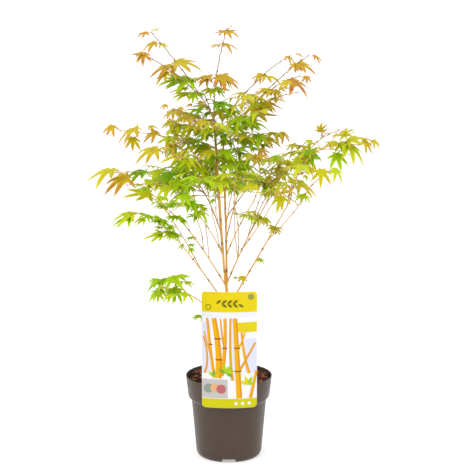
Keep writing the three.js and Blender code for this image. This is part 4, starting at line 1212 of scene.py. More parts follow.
class MAPLE_OT_soil(bpy.types.Operator):
    """Fill the pot with peat, and strew bark chips on it"""

    bl_idname = "maple.soil"
    bl_label = "Potting mix"

    def execute(self, context):
        soil, pot = context.scene.maple_soil, context.scene.maple_pot
        edge, steps = soil.top - PEAT.edge, PEAT.rings
        heights = (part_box("soil")[0].z, *(z for _, z in pot_profile(pot)[1:3]), edge)
        rings = [(inside_radius(pot, z) - PEAT.clear, z) for z in heights]
        rim = rings[-1][0]
        rings += [(rim * (1 - i / steps), soil.top) for i in range(1, steps)]
        bed = turned(rings, POT_SIDES)
        apply_modifier(bed, "TRIANGULATE")
        heap = bpy.data.textures.new("peat_heaps", "CLOUDS")
        heap.noise_scale = PEAT.heap_size
        top = bed.vertex_groups.new(name="top")
        top.add([v.index for v in bed.data.vertices if v.co.z > edge + MM], 1, "ADD")
        settings = {"texture": heap, "strength": PEAT.heap_height, "mid_level": PEAT.level}
        apply_modifier(bed, "DISPLACE", vertex_group="top", direction="Z", **settings)
        smooth(bed, 0.7)
        peat = mottled("peat", soil.peat, soil.dry_peat, 160.0, 0.2, (0.85, 1.0), (500.0, 0.002, 0.9), 0.3)
        finish_piece(bed, "peat_bed", "potting_mix", [peat], "soil")
        self.strew(soil, pot)
        return {"FINISHED"}

    def strew(self, soil, pot):
        rng = np.random.default_rng(CHIP_SEED)
        heap = Heap()
        for _ in range(soil.chips):
            length = soil.chip_length * rng.uniform(0.3, 1.0) ** 1.3
            points, faces = chip(rng, length)
            reach = inside_radius(pot, soil.top) - length / 2 - MM
            out, heading = reach * sqrt(rng.uniform(0.01, 1)), rng.uniform(0, 2 * pi)
            points = points @ turn_matrix(rng.uniform(0, 2 * pi), *rng.normal(0, 0.28, 2)).T
            height = soil.top + rng.uniform(*CHIP_LIFT)
            at = np.array((out * cos(heading), out * sin(heading), height))
            heap.add(points + at, faces, int(rng.choice(len(CHIP_TINTS), p=CHIP_SHARES)))
        kinds = [plain_tint(*row, (0.6, 0.95), (420.0, 0.0012, 0.8), 0.3) for row in CHIP_TINTS]
        heap.finish("bark_chips", "potting_mix", kinds)


# ------------------------------------------------------------------ the label
class LabelSettings(bpy.types.PropertyGroup):
    """Sizes and colours of the card label, in metres."""

    width: length_field("Width", "Width of the card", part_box("label")[1].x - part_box("label")[0].x)
    foot: length_field("Foot", "Height of its lower edge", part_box("label")[0].z)
    top: length_field("Top", "Height of its upper edge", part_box("label")[1].z)
    header: colour_field("Header", "Colour of the header", srgb(210, 189, 0))
    band: colour_field("Band", "Colour of the lower band", srgb(190, 184, 4))


LABEL = SimpleNamespace(
    middle=0.0015, thickness=0.0009, stand_off=0.0016, bow=0.18, corner=0.008, header=0.0445, strip=0.0115,
    band=0.021, columns=30, hook_width=0.024, hook_clear=0.003, hook_foot=0.173, hook_into=0.6, wall=0.002,
    ink=0.00003,
)

# The place of the back's material, after the header's, the strip's, the body's and the band's.
CARD_BACK = 4

# The print on the card, a plain design of arching canes, pointed ovals and rounds. Places are shares
# of the card's width and height from its lower left corner, and widths are shares of its width.
# Pale panels behind the canes: left and lower corner, width and height, and kind.
PANELS = (
    ((0.0, 0.3), (0.16, 0.44), "mist"),
    ((0.5, 0.24), (0.1, 0.54), "mist"),
    ((0.78, 0.3), (0.22, 0.3), "mist"),
    ((0.62, 0.655), (0.38, 0.085), "sun"),
    ((0.0, 0.085), (0.47, 0.165), "dusk"),
)
# A cane is its foot, the point that it bends towards, its tip, its width and its kind.
CANES = (
    ((0.05, 0.3), (0.16, 0.42), (0.03, 0.62), 0.04, "cane_deep"),
    ((0.56, 0.24), (0.5, 0.4), (0.52, 0.775), 0.05, "cane_deep"),
    ((0.86, 0.3), (0.76, 0.42), (0.72, 0.655), 0.055, "cane"),
    ((0.23, 0.26), (0.16, 0.46), (0.1, 0.775), 0.06, "cane"),
    ((0.2, 0.42), (0.12, 0.5), (0.05, 0.66), 0.03, "cane_deep"),
    ((0.36, 0.28), (0.44, 0.5), (0.42, 0.775), 0.075, "cane"),
    ((0.3, 0.26), (0.34, 0.48), (0.22, 0.775), 0.12, "cane"),
    ((0.41, 0.52), (0.36, 0.62), (0.34, 0.775), 0.035, "cane_deep"),
    ((0.68, 0.085), (0.64, 0.45), (0.6, 0.775), 0.105, "cane"),
    ((0.68, 0.32), (0.8, 0.42), (0.97, 0.56), 0.045, "cane_deep"),
    ((0.66, 0.52), (0.73, 0.56), (0.78, 0.655), 0.035, "cane"),
    ((0.88, 0.085), (0.94, 0.2), (0.99, 0.32), 0.06, "cane"),
)
# The share of a cane's width, from its right side, that is printed in the deeper tint.
CANE_SHADE = (0.3, 1.0)
# How much thinner a cane is at its tip.
CANE_TAPER = 0.25
# A pointed oval is its foot, its heading in degrees, its length, its breadth and its kind.
OVALS = (
    ((0.83, 0.2), 15, 0.15, 0.4, "leaf_print"),
    ((0.83, 0.2), 60, 0.18, 0.36, "leaf_print"),
    ((0.83, 0.2), 105, 0.18, 0.36, "leaf_gold"),
    ((0.83, 0.2), 150, 0.15, 0.4, "leaf_gold"),
    ((0.44, 0.3), 20, 0.17, 0.36, "leaf_print"),
    ((0.44, 0.3), 62, 0.2, 0.34, "leaf_print"),
    ((0.44, 0.3), 104, 0.19, 0.34, "leaf_print"),
    ((0.44, 0.3), 148, 0.17, 0.36, "leaf_print_dark"),
    ((0.44, 0.3), -22, 0.13, 0.4, "leaf_print_dark"),
    ((0.2, 0.27), 30, 0.13, 0.38, "leaf_print"),
    ((0.2, 0.27), 78, 0.15, 0.36, "leaf_print_dark"),
    ((0.2, 0.27), 126, 0.13, 0.38, "leaf_print"),
    *(((x, 0.9), 35, 0.12, 0.4, "olive") for x in (0.26, 0.36, 0.46, 0.56)),
    *(((x, 0.9), -35, 0.12, 0.4, "olive") for x in (0.36, 0.46, 0.56, 0.66)),
)
# A round is its middle, its radius and its kind, and later ones lie over earlier ones.
ROUNDS = (
    ((0.89, 0.955), 0.055, "tag"),
    ((0.12, 0.87), 0.05, "olive"),
    ((0.12, 0.87), 0.036, "header"),
    ((0.86, 0.7), 0.08, "leaf_gold"),
    ((0.86, 0.7), 0.05, "sun"),
    ((0.12, 0.17), 0.085, "patch_grey"),
    ((0.235, 0.175), 0.08, "patch_peach"),
    ((0.35, 0.165), 0.085, "patch_pink"),
    ((0.62, 0.04), 0.032, "paper"),
    ((0.74, 0.04), 0.032, "paper"),
    ((0.86, 0.04), 0.032, "paper"),
)
# Nodes on the canes: middle, half length and half width.
JOINTS = (
    ((0.29, 0.6), 0.06, 0.012),
    ((0.31, 0.42), 0.062, 0.012),
    ((0.415, 0.52), 0.044, 0.012),
    ((0.66, 0.32), 0.06, 0.012),
    ((0.64, 0.52), 0.055, 0.012),
    ((0.16, 0.55), 0.034, 0.01),
)
INKS = {
    "cane": srgb(214, 158, 2),
    "cane_shade": srgb(202, 134, 10),
    "cane_deep": srgb(204, 140, 30),
    "leaf_print": srgb(158, 186, 20),
    "leaf_print_dark": srgb(112, 154, 30),
    "leaf_gold": srgb(200, 190, 10),
    "joint": srgb(142, 82, 22),
    "olive": srgb(104, 100, 14),
    "tag": srgb(142, 140, 66),
    "sun": srgb(206, 186, 6),
    "mist": srgb(202, 203, 220),
    "dusk": srgb(178, 174, 172),
    "paper": srgb(222, 218, 208),
    "patch_pink": srgb(176, 92, 100),
    "patch_grey": srgb(130, 142, 128),
    "patch_peach": srgb(206, 158, 110),
}

CARD_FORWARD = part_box("pot")[1].x + LABEL.stand_off
STRIP_TINT, BODY_TINT = srgb(214, 215, 219), srgb(220, 219, 224)
# The gloss of the card and of its ink, and the relief of both.
CARD_LOOK = ((0.26, 0.36), (800.0, 0.0002, 0.25), 0.15)
INK_LOOK = ((0.3, 0.42), (700.0, 0.0002, 0.2), 0.15)


def card_front(x):
    """How far forward the bowed card's face stands at a distance from its middle."""
    bow = LABEL.bow
    return bow - CARD_FORWARD - sqrt(bow * bow - x * x)


def card_shape(label):
    return np.array((label.width, label.top - label.foot))


def on_card(label, share_x, share_z, lift=0.0):
    """The point of the card's face at shares of its width and height."""
    x = (share_x - 0.5) * label.width
    z = label.foot + share_z * (label.top - label.foot)
    return (LABEL.middle + x, card_front(x) - lift, z)


def cut_outline(outline, limit, side):
    """The part of an outline that lies on one side of an upright line."""
    kept = []
    for (x, z), (other_x, other_z) in zip(outline, outline[1:] + outline[:1]):
        here, there = (x - limit) * side, (other_x - limit) * side
        if here >= 0:
            kept.append((x, z))
        if here * there < 0:
            kept.append((limit, z + (other_z - z) * here / (here - there)))
    return kept


def print_patch(heap, label, outline, layer, kind):
    """A printed patch on the card: a thin plate with the given outline, cut at the card's columns."""
    columns = LABEL.columns
    outline = [tuple(corner) for corner in outline]
    first = floor(min(x for x, _ in outline) * columns)
    last = ceil(max(x for x, _ in outline) * columns)
    for i in range(first, last):
        strip = cut_outline(cut_outline(outline, i / columns, 1), (i + 1) / columns, -1)
        count = len(strip)
        if count < 3:
            continue
        points = [on_card(label, x, z, lift) for lift in (LABEL.ink * (layer + 1), 0.0) for x, z in strip]
        sides = [(j, count + j, count + (j + 1) % count, (j + 1) % count) for j in range(count)]
        faces = [tuple(range(count)), tuple(range(2 * count - 1, count - 1, -1)), *sides]
        heap.add(np.array(points), faces, kind)


def box_outline(corner, size):
    """A box of shares from its lower left corner."""
    (x, z), (wide, high) = corner, size
    return [(x, z), (x + wide, z), (x + wide, z + high), (x, z + high)]


def strip_outlines(edges):
    """The quads between the pairs of points on the two edges of a strip."""
    return [(a[0], a[1], b[1], b[0]) for a, b in zip(edges, edges[1:])]


def cane_outlines(label, foot, middle, tip, width, sides=(-1.0, 1.0), steps=14):
    """Strips of a cane that bends from its foot to its tip and thins upward, between two shares of it."""
    shape = card_shape(label)
    foot, middle, tip = (np.array(each) * shape for each in (foot, middle, tip))
    edges = []
    for i in range(steps + 1):
        t = i / steps
        at = curve_at(foot, middle, tip, t)
        along = unit(2 * (1 - t) * (middle - foot) + 2 * t * (tip - middle))
        half = width * label.width / 2 * (1 - CANE_TAPER * t)
        across = np.array((along[1], -along[0])) * half
        edges.append([(at + side * across) / shape for side in sides])
    return strip_outlines(edges)


def oval_outlines(label, foot, heading, length, breadth, steps=5):
    """A pointed oval from its foot, as strips across it."""
    shape = card_shape(label)
    along = np.array((cos(radians(heading)), sin(radians(heading))))
    across = np.array((-along[1], along[0]))
    rows = []
    for i in range(steps + 1):
        t = i / steps
        at = np.array(foot) * shape + along * t * length * label.width
        half = across * breadth * length * label.width * sin(pi * t) ** 1.2 / 2 + across * 1e-6
        rows.append(((at + half) / shape, (at - half) / shape))
    return strip_outlines(rows)


def disc_outline(label, middle, radius, sides=20):
    turns = [2 * pi * i / sides for i in range(sides)]
    arms = [np.array((cos(turn), sin(turn))) for turn in turns]
    return [np.array(middle) + arm * radius * label.width / card_shape(label) for arm in arms]


class MAPLE_OT_label(bpy.types.Operator):
    """Make the bowed card label with its hook, and a plain printed design on its face"""

    bl_idname = "maple.label"
    bl_label = "Label"

    def execute(self, context):
        label = context.scene.maple_label
        card = self.card(label)
        join(card, self.hook())
        self.paint(card, label)
        smooth(card, 0.5)
        tints = (("header", label.header), ("strip", STRIP_TINT), ("body", BODY_TINT), ("band", label.band))
        kinds = []
        for name, tint in tints:
            deeper = [part * 0.97 for part in tint]
            kinds.append(mottled(f"card_{name}", tint, deeper, 60.0, 0.3, *CARD_LOOK))
        back = (srgb(236, 234, 226), srgb(228, 226, 216), 60.0, 0.3, (0.45, 0.6), (800.0, 0.0003, 0.3))
        finish_piece(card, "card_label", "label_card", [*kinds, mottled("card_back", *back)], "label")
        self.artwork(label)
        return {"FINISHED"}

    def card(self, label):
        """The card: a plane with rounded corners, cut into columns and bands, bowed and thickened."""
        start_piece()
        width, height = label.width, label.top - label.foot
        bpy.ops.mesh.primitive_plane_add(size=1, location=(0, 0, 0), rotation=(pi / 2, 0, 0))
        card = bpy.context.object
        card.scale = (width, height, 1)
        apply_place(card)
        edit(card)
        bpy.ops.mesh.bevel(offset=LABEL.corner, segments=8, affect="VERTICES")
        for i in range(1, LABEL.columns):
            cut((-width / 2 + width * i / LABEL.columns, 0, 0), (1, 0, 0))
        head = height / 2 - LABEL.header
        for z in (head, head - LABEL.strip, LABEL.band - height / 2):
            cut((0, 0, z), (0, 0, 1))
        set_mode("OBJECT")
        for corner in card.data.vertices:
            x = corner.co.x
            corner.co = (x + LABEL.middle, card_front(x), corner.co.z + (label.foot + label.top) / 2)
        apply_modifier(card, "SOLIDIFY", thickness=LABEL.thickness, offset=-1.0)
        clean(card)
        return card

    def paint(self, card, label):
        """Deals the card's materials out to its faces by their place."""
        head = label.top - LABEL.header
        limits = (head, head - LABEL.strip, label.foot + LABEL.band)
        kinds = []
        for face in card.data.polygons:
            x, y, z = face.center
            on_face = face.normal.y < -0.5 and y < card_front(x - LABEL.middle) + MM / 2
            kinds.append(sum(z < limit for limit in limits) if on_face else CARD_BACK)
        card.data.polygons.foreach_set("material_index", kinds)

    def hook(self):
        """The tongue behind the card that hangs over the rim of the pot."""
        start_piece()
        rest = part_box("pot")[1].z + GAP * MM
        thick = LABEL.thickness
        front = card_front(0) + thick * LABEL.hook_into
        inside = -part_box("pot")[1].x + LABEL.wall + LABEL.hook_clear
        middle = (front + inside + thick) / 2
        bpy.ops.mesh.primitive_cube_add(size=1, location=(0, middle, rest + thick / 2))
        hook = bpy.context.object
        hook.scale = (LABEL.hook_width, inside + thick - front, thick)
        apply_place(hook)
        edit(hook)
        cut((0, inside, 0), (0, 1, 0))
        edit(hook, "DESELECT", "FACE")
        set_mode("OBJECT")
        for face in hook.data.polygons:
            face.select = face.normal.z < -0.9 and face.center.y > inside
        set_mode("EDIT")
        drop = {"value": (0, 0, LABEL.hook_foot - rest)}
        bpy.ops.mesh.extrude_region_move(TRANSFORM_OT_translate=drop)
        set_mode("OBJECT")
        clean(hook)
        return hook

    def artwork(self, label):
        """The print: each patch is a thin plate, and later ones lie over earlier ones."""
        inks = {**INKS, "header": label.header}
        names = list(inks)
        heap = Heap()

        def put(kind, layer, *outlines):
            for outline in outlines:
                print_patch(heap, label, outline, layer, names.index(kind))

        for corner, size, kind in PANELS:
            put(kind, 0, box_outline(corner, size))
        for layer, (*cane, kind) in enumerate(CANES, 1):
            put(kind, layer, *cane_outlines(label, *cane))
            if kind == "cane":
                put("cane_shade", layer + 0.5, *cane_outlines(label, *cane, CANE_SHADE))
        layer = len(CANES) + 1
        for (x, z), half_length, half_width in JOINTS:
            corner = (x - half_length, z - half_width / 2)
            put("joint", layer, box_outline(corner, (2 * half_length, half_width)))
        for *oval, kind in OVALS:
            put(kind, layer + 1 + names.index(kind) / len(names), *oval_outlines(label, *oval))
        for i, (middle, radius, kind) in enumerate(ROUNDS):
            put(kind, layer + 3 + i / 2, disc_outline(label, middle, radius))
        inks = [plain_tint(f"print_{name}", colour, *INK_LOOK) for name, colour in inks.items()]
        heap.finish("label_print", "label_card", inks)


# ------------------------------------------------------------------ the trunk and boughs
class BarkSettings(bpy.types.PropertyGroup):
    """Looks of the bark, with lengths in metres."""

    relief: length_field("Relief", "How far the bark stands in and out", 0.0004)
    node_spacing: length_field("Node spacing", "Distance between the ringed nodes", 0.064)
    young: colour_field("Young bark", "Colour of the young orange bark", srgb(216, 174, 94))
    old: colour_field("Old bark", "Colour of the older bark", srgb(240, 170, 54))


RING_STEP = 8
BARK_CLOUDS = 0.006
NODE_SWELL = SimpleNamespace(reach=3.4, extra=0.24, collar=7.0, collar_extra=0.45)
# Where the ringed nodes stand: from the foot, from one to the next, and clear of the tip.
NODE_PLACES = SimpleNamespace(first=(0.45, 0.8), next=(0.8, 1.2), clear=12, first_seed=101)
# How far below its start a limb's bark begins, in the mix or inside the trunk.
BARK_SINK = {"trunk": 5, "leader_left": 14, "leader_right": 14}
# How much fuller or finer than the plan the bark of a limb is, by shares of its length.
FULLNESS = {
    "trunk": ((0, 1), (0.95, 0.7)),
    "leader_left": ((0, 0.12, 0.2, 0.5, 0.85, 1), (0.92, 1.08, 1.25, 1.5, 1.55, 1.3)),
    "leader_right": ((0, 0.12, 0.2, 0.5, 1), (0.92, 0.96, 1.0, 1.04, 1.0)),
}
# How far the two leaders are drawn together above the fork, by heights above their start.
LEADER_PULL = ((-14, 0, 27, 45, 65, 110), (2.0, 1.2, 1.05, 0.6, 0.45, 0))
LEADERS = {"leader_left": 1, "leader_right": -1}
AGE, NODE_MARK, SHADE = "age", "node_mark", "shade"
# A limb's age by its first radius: the radius of a young one, and how much more an old one has.
AGE_RADII = (1.2, 2.6)
# The points along a limb among which each corner of its bark finds its place.
MARK_STEPS = 200
# The heights between which the bark turns to a darker brown: painted shade, standing in for the shadow that
# the leaves of the crown cast on it.
SHADE_HEIGHTS = (644, 804)
BARK_TINTS = {
    "young": srgb(196, 148, 74),
    "old": srgb(218, 142, 34),
    # The shade tint is painted shade for the leaves' shadow high in the crown, not a colour of the bark.
    "shade": srgb(150, 98, 58),
    "speck": srgb(246, 204, 136),
    "node": srgb(92, 58, 36),
}


def limb_nodes(i, bend, spacing):
    """Places of the ringed nodes along a limb, as distances from its foot."""
    draw, length = draws(NODE_PLACES.first_seed + i), bend.length()
    places = []
    at = spacing / MM * draw(*NODE_PLACES.first)
    while at < length - NODE_PLACES.clear:
        places.append(at)
        at += spacing / MM * draw(*NODE_PLACES.next)
    return places


def swelling(distance, places):
    """How strongly a point at a distance along a stem belongs to one of its nodes, 0 to 1."""
    if not places:
        return 0.0
    nearest = min(abs(distance - each) for each in places)
    return exp(-((nearest / NODE_SWELL.reach) ** 2))


def bark_material(bark):
    """Smooth orange bark that greys with age, with pale lenticels and dark ringed nodes."""
    surface = Surface("maple_bark")
    young = surface.mottle(bark.young, BARK_TINTS["young"], 95.0, 0.22)
    old = surface.mottle(bark.old, BARK_TINTS["old"], 120.0, 0.2)
    age, mark, shade = (surface.attribute(label) for label in (AGE, NODE_MARK, SHADE))
    colour = surface.mix(age, young["Color"], old["Color"])
    # Painted shade: higher in the crown the bark is mixed towards a darker brown for the shadow of the
    # leaves.
    colour = surface.mix(shade, colour, (*BARK_TINTS["shade"], 1))
    specks = surface.effect(speck_group(), Scale=330.0, Size=0.2, Stretch=(1.0, 1.0, 0.45))["Mask"]
    colour = surface.mix(surface.math("MULTIPLY", specks, 0.5), colour, (*BARK_TINTS["speck"], 1))
    colour = surface.mix(surface.math("MULTIPLY", mark, 0.75), colour, (*BARK_TINTS["node"], 1))
    gloss = surface.span(young["Mask"], 0.0, 1.0, 0.38, 0.55)
    return surface.shade(colour, gloss, surface.relief(700.0, 0.0004, 0.6))


class MAPLE_OT_bark(bpy.types.Operator):
    """Make the trunk and boughs as one piece with ringed nodes, a root flare and the bark's relief"""

    bl_idname = "maple.bark"
    bl_label = "Trunk and boughs"

    def execute(self, context):
        bark = context.scene.maple_bark
        clouds = bpy.data.textures.new("bark_clouds", "CLOUDS")
        clouds.noise_scale = BARK_CLOUDS
        made = []
        for i, (name, (bend, radii)) in enumerate(plant().limbs.items()):
            places = limb_nodes(i, bend, bark.node_spacing)
            piece = self.limb(name, bend, radii, places)
            young, more = AGE_RADII
            age = 1.0 if name == "trunk" else min(1.0, max(0.0, (radii[0] - young) / more))
            self.mark(piece, bend, places, age)
            apply_modifier(piece, "DISPLACE", texture=clouds, strength=bark.relief, mid_level=0.5)
            made.append(piece)
        self.flare(made[0])
        join(*made)
        smooth(made[0], 1.0)
        finish_piece(made[0], "bark", "bark", [bark_material(bark)], *plant().limbs)
        return {"FINISHED"}

    def limb(self, name, bend, radii, places):
        """A limb as a Bezier curve with a radius at every point, made into a mesh."""
        start_piece()
        sink = BARK_SINK.get(name, 0)
        foot = bend.start - bend.along(0) * sink
        first = foot + (bend.middle - foot) * 2 / 3
        last = bend.tip + (bend.middle - bend.tip) * 2 / 3
        ends = ((foot, foot * 2 - first, first), (bend.tip, last, bend.tip * 2 - last))
        bpy.ops.curve.primitive_bezier_curve_add(radius=1, location=(0, 0, 0))
        curve = bpy.context.object
        for point, (at, back, ahead) in zip(curve.data.splines[0].bezier_points, ends):
            point.handle_left_type = point.handle_right_type = "FREE"
            point.co, point.handle_left, point.handle_right = at * MM, back * MM, ahead * MM
        length = bend.length() + sink
        set_mode("EDIT")
        bpy.ops.curve.select_all(action="SELECT")
        bpy.ops.curve.subdivide(number_cuts=max(6, int(length / RING_STEP) * 2))
        set_mode("OBJECT")
        points = curve.data.splines[0].bezier_points
        for i, point in enumerate(points):
            share = i / (len(points) - 1)
            distance = share * length
            radius = between(radii, share) * (1 + NODE_SWELL.extra * swelling(distance, places))
            radius *= np.interp(share, *FULLNESS.get(name, ((0, 1), (1, 1))))
            if name in LEADERS:
                pull = LEADERS[name] * np.interp(distance - sink, *LEADER_PULL) * MM
                for place in (point.co, point.handle_left, point.handle_right):
                    place.x += pull
            elif name != "trunk":
                radius *= 1 + NODE_SWELL.collar_extra * exp(-((distance / NODE_SWELL.collar) ** 2))
            point.radius = radius
        curve.data.dimensions = "3D"
        curve.data.resolution_u = 1
        curve.data.bevel_depth = MM
        curve.data.bevel_resolution = 6 if name == "trunk" else 4
        curve.data.use_fill_caps = True
        only(curve)
        bpy.ops.object.convert(target="MESH")
        piece = bpy.context.object
        clean(piece)
        return piece

    def mark(self, piece, bend, places, age):
        """Stores each point's age, how near it is to a node and how much painted shade it takes from its
        height in the crown.
        """
        samples = np.array([bend.at(i / MARK_STEPS) for i in range(MARK_STEPS + 1)])
        corners = np.empty(len(piece.data.vertices) * 3)
        piece.data.vertices.foreach_get("co", corners)
        corners = corners.reshape(-1, 3) / MM
        nearest = norm(corners[:, None, :] - samples[None, :, :], axis=2).argmin(axis=1)
        marks = [swelling(each, places) for each in nearest / MARK_STEPS * bend.length()]
        shade = np.interp(corners[:, 2], SHADE_HEIGHTS, (0.0, 1.0))
        ages = age * (1 - 0.5 * nearest / MARK_STEPS)
        for label, values in ((AGE, ages), (NODE_MARK, marks), (SHADE, shade)):
            layer = piece.data.attributes.new(label, "FLOAT", "POINT")
            layer.data.foreach_set("value", np.array(values, np.float32))

    def flare(self, trunk):
        """Spreads the foot of the trunk into a fluted root flare."""
        foot = plant().bends["trunk"].start * MM
        for corner in trunk.data.vertices:
            near = min(1, 1 - (corner.co.z - foot[2]) / (FLARE.height * MM))
            away = np.array(corner.co[:2]) - foot[:2]
            reach = norm(away)
            if near <= 0 or reach < 1e-4:
                continue
            flute = cos(FLARE.lobes * atan2(away[1], away[0]))
            wider = reach + FLARE.extra * MM * near * near
            wider *= 1 + FLARE.fluting * flute * near
            corner.co.x, corner.co.y = foot[:2] + away / reach * wider


# ------------------------------------------------------------------ the twigs
class TwigSettings(bpy.types.PropertyGroup):
    """Looks of the twigs and leaf stalks."""

    sides: IntProperty(name="Sides", description="Sides of a twig", default=6, min=4)
    waver: length_field("Waver", "How far a twig strays from its curve", 0.0005)
    twig: colour_field("Twig", "Colour of the young twigs", srgb(210, 164, 88))
    old_twig: colour_field("Bare twig", "Colour of the bare grey-brown twigs", srgb(196, 160, 124))


TWIG_SEED = 11
# The second colour below is painted shade: a darker brown for twigs high in the crown, where the leaves shade
# them.
TWIG_NODE, TWIG_PAINTED_SHADE = srgb(142, 106, 64), srgb(152, 122, 76)
# The swelling of a twig's nodes, the places along it round a node, and the swelling of its foot.
TWIG_SWELL = SimpleNamespace(extra=0.45, places=(-1.7, -0.6, 0.6, 1.7), reach=0.8, apart=0.3, foot=1.35)
# How far below the painted shade of the inner crown some of the twigs take painted shade too.
PAINTED_SHADE_SPAN = 60
STALKS = (
    ("stalk_green", srgb(168, 164, 52)),
    ("stalk_orange", srgb(206, 142, 62)),
    ("stalk_red", srgb(196, 98, 66)),
)
# The stalks: radii from the stem to the palm, and the tints above which they are orange and red.
STALK = SimpleNamespace(radius=0.42, radii=(1.35, 1.0, 0.85, 0.95), sag=0.1, orange=0.3, red=0.72, stray=0.15)
BUD = SimpleNamespace(
    length=2.6, radius=0.9, lean=0.6, sunk=0.9, steps=(0, 0.35, 0.75, 1), radii=(0.8, 1.0, 0.6, 0.12),
)


def stem_tube(bend, radii, nodes, sides, waver, rng):
    """A twig's tube with swollen nodes, and the kind of each face: 0 along it and 1 at a node."""
    length = bend.length(40)
    count, close = max(2, int(length / RING_STEP)), TWIG_SWELL.reach
    stops = {i / count for i in range(count + 1)}
    for node in nodes:
        stops.update(min(1.0, max(0.0, node + shift / length)) for shift in TWIG_SWELL.places)
    stops = sorted(stops)
    apart = TWIG_SWELL.apart / length
    stops = [stop for i, stop in enumerate(stops) if i == 0 or stop - stops[i - 1] > apart]
    points = np.array([bend.at(stop) for stop in stops])
    drift = rng.normal(0, waver / MM, points.shape)
    drift[0] = drift[-1] = 0
    near = [min((abs(stop - node) * length for node in nodes), default=99) for stop in stops]
    extra = TWIG_SWELL.extra
    wide = [between(radii, stop) * (1 + extra * (each < close)) for stop, each in zip(stops, near)]
    wide[0] *= TWIG_SWELL.foot
    points, faces = tube((points + drift) * MM, np.array(wide) * MM, sides)
    kinds = [int(min(pair) < close) for pair in zip(near, near[1:]) for _ in range(sides)]
    return points, faces, kinds + [0, 0]


class MAPLE_OT_twigs(bpy.types.Operator):
    """Make the leafy shoots, fine twigs, leaf stalks and buds as joined pieces"""

    bl_idname = "maple.twigs"
    bl_label = "Twigs and leaf stalks"

    def execute(self, context):
        twigs = context.scene.maple_twigs
        rng = np.random.default_rng(TWIG_SEED)
        heap = Heap()
        for bend, radii, nodes, bare in plant().twigs:
            points, faces, kinds = stem_tube(bend, radii, nodes, twigs.sides, twigs.waver, rng)
            # Twigs that end high in the crown take the dusk kind, a painted shade for the shadow of the
            # leaves.
            high = bend.tip[2] > SHADE_HEIGHTS[1] - PAINTED_SHADE_SPAN * rng.random()
            along = 1 if bare else 3 if high else 0
            heap.add(points, faces, [2 if kind else along for kind in kinds])
        colours = {"orange": twigs.twig, "brown": twigs.old_twig, "node": TWIG_NODE, "dusk": TWIG_PAINTED_SHADE}
        look = ((0.4, 0.6), (600.0, 0.0003, 0.5))
        kinds = [plain_tint(f"twig_{name}", colour, *look) for name, colour in colours.items()]
        heap.finish("twigs", "bark", kinds, 1.1)
        self.stalks(rng)
        self.buds(context.scene.maple_bark)
        return {"FINISHED"}

    def stalks(self, rng):
        """The leaf stalks, each a thin arched tube from its node to the leaf's palm."""
        heap = Heap()
        radii = np.array(STALK.radii) * STALK.radius * MM
        shares = [i / (len(radii) - 1) for i in range(len(radii))]
        for leaf in plant().leaves:
            reach = norm(leaf.palm - leaf.foot)
            bend = Bend(leaf.foot, leaf.palm, (0, 0, reach * STALK.sag))
            points = np.array([bend.at(share) for share in shares])
            kind = 2
            if leaf.tint <= STALK.red:
                kind = int(leaf.tint + rng.uniform(-STALK.stray, STALK.stray) > STALK.orange)
            heap.add(*tube(points * MM, radii, 4), kind)
        kinds = [plain_tint(*row, (0.4, 0.55), (500.0, 0.0002, 0.3)) for row in STALKS]
        heap.finish("leaf_stalks", "foliage", kinds, 1.2)

    def buds(self, bark):
        """Small pointed buds in pairs at the nodes of the limbs."""
        heap = Heap()
        bud_radii = np.array(BUD.radii) * BUD.radius * MM
        for i, (bend, radii) in enumerate(plant().limbs.values()):
            for j, distance in enumerate(limb_nodes(i, bend, bark.node_spacing)):
                share = distance / bend.length()
                along = bend.along(share)
                side = unit(np.cross(guide_across(along), along))
                side = side if j % 2 else np.cross(along, side)
                for hand in (-1, 1):
                    foot = bend.at(share) + side * hand * between(radii, share) * BUD.sunk
                    way = unit(along + side * hand * BUD.lean)
                    points = np.array([foot + way * BUD.length * step for step in BUD.steps])
                    heap.add(*tube(points * MM, bud_radii, 6), 0)
        look = (srgb(104, 60, 42), srgb(140, 84, 52), 900.0, 0.2, (0.4, 0.6), (900.0, 0.0003, 0.5))
        heap.finish("buds", "bark", [mottled("bud", *look)], 1.0)


# ------------------------------------------------------------------ the leaves
class LeafSettings(bpy.types.PropertyGroup):
    """Shape of the leaves, as shares of a leaf's length unless given in metres."""

    size: FloatProperty(name="Size", description="Size against the plan's leaves", default=0.95, min=0.1)
    width: FloatProperty(name="Lobe width", description="Half width of a lobe at its widest", default=0.13)
    fold: FloatProperty(name="Fold", description="Rise of a lobe's edges above its midrib", default=0.32)
    droop: FloatProperty(name="Droop", description="How far the lobes' tips hang", default=0.42)
    swing: turn_field("Swing", "How far a lobe may turn aside", 4)
    thickness: length_field("Thickness", "Thickness of the blade", 0.0003)


LEAF_PLANE = "leaf_plane"
LOBE_TURN = radians(40)
LEAF_LOBES = ((-124, 0.36), (-80, 0.66), (-39, 0.9), (0, 1.0), (39, 0.9), (80, 0.66), (124, 0.36))
# The cuts between the lobes, each before the lobe of the same number, as turn and share of length.
SINUS = ((-180, 0.08), (-102, 0.24), (-59.5, 0.37), (-19.5, 0.43), (19.5, 0.43), (59.5, 0.37), (102, 0.24))
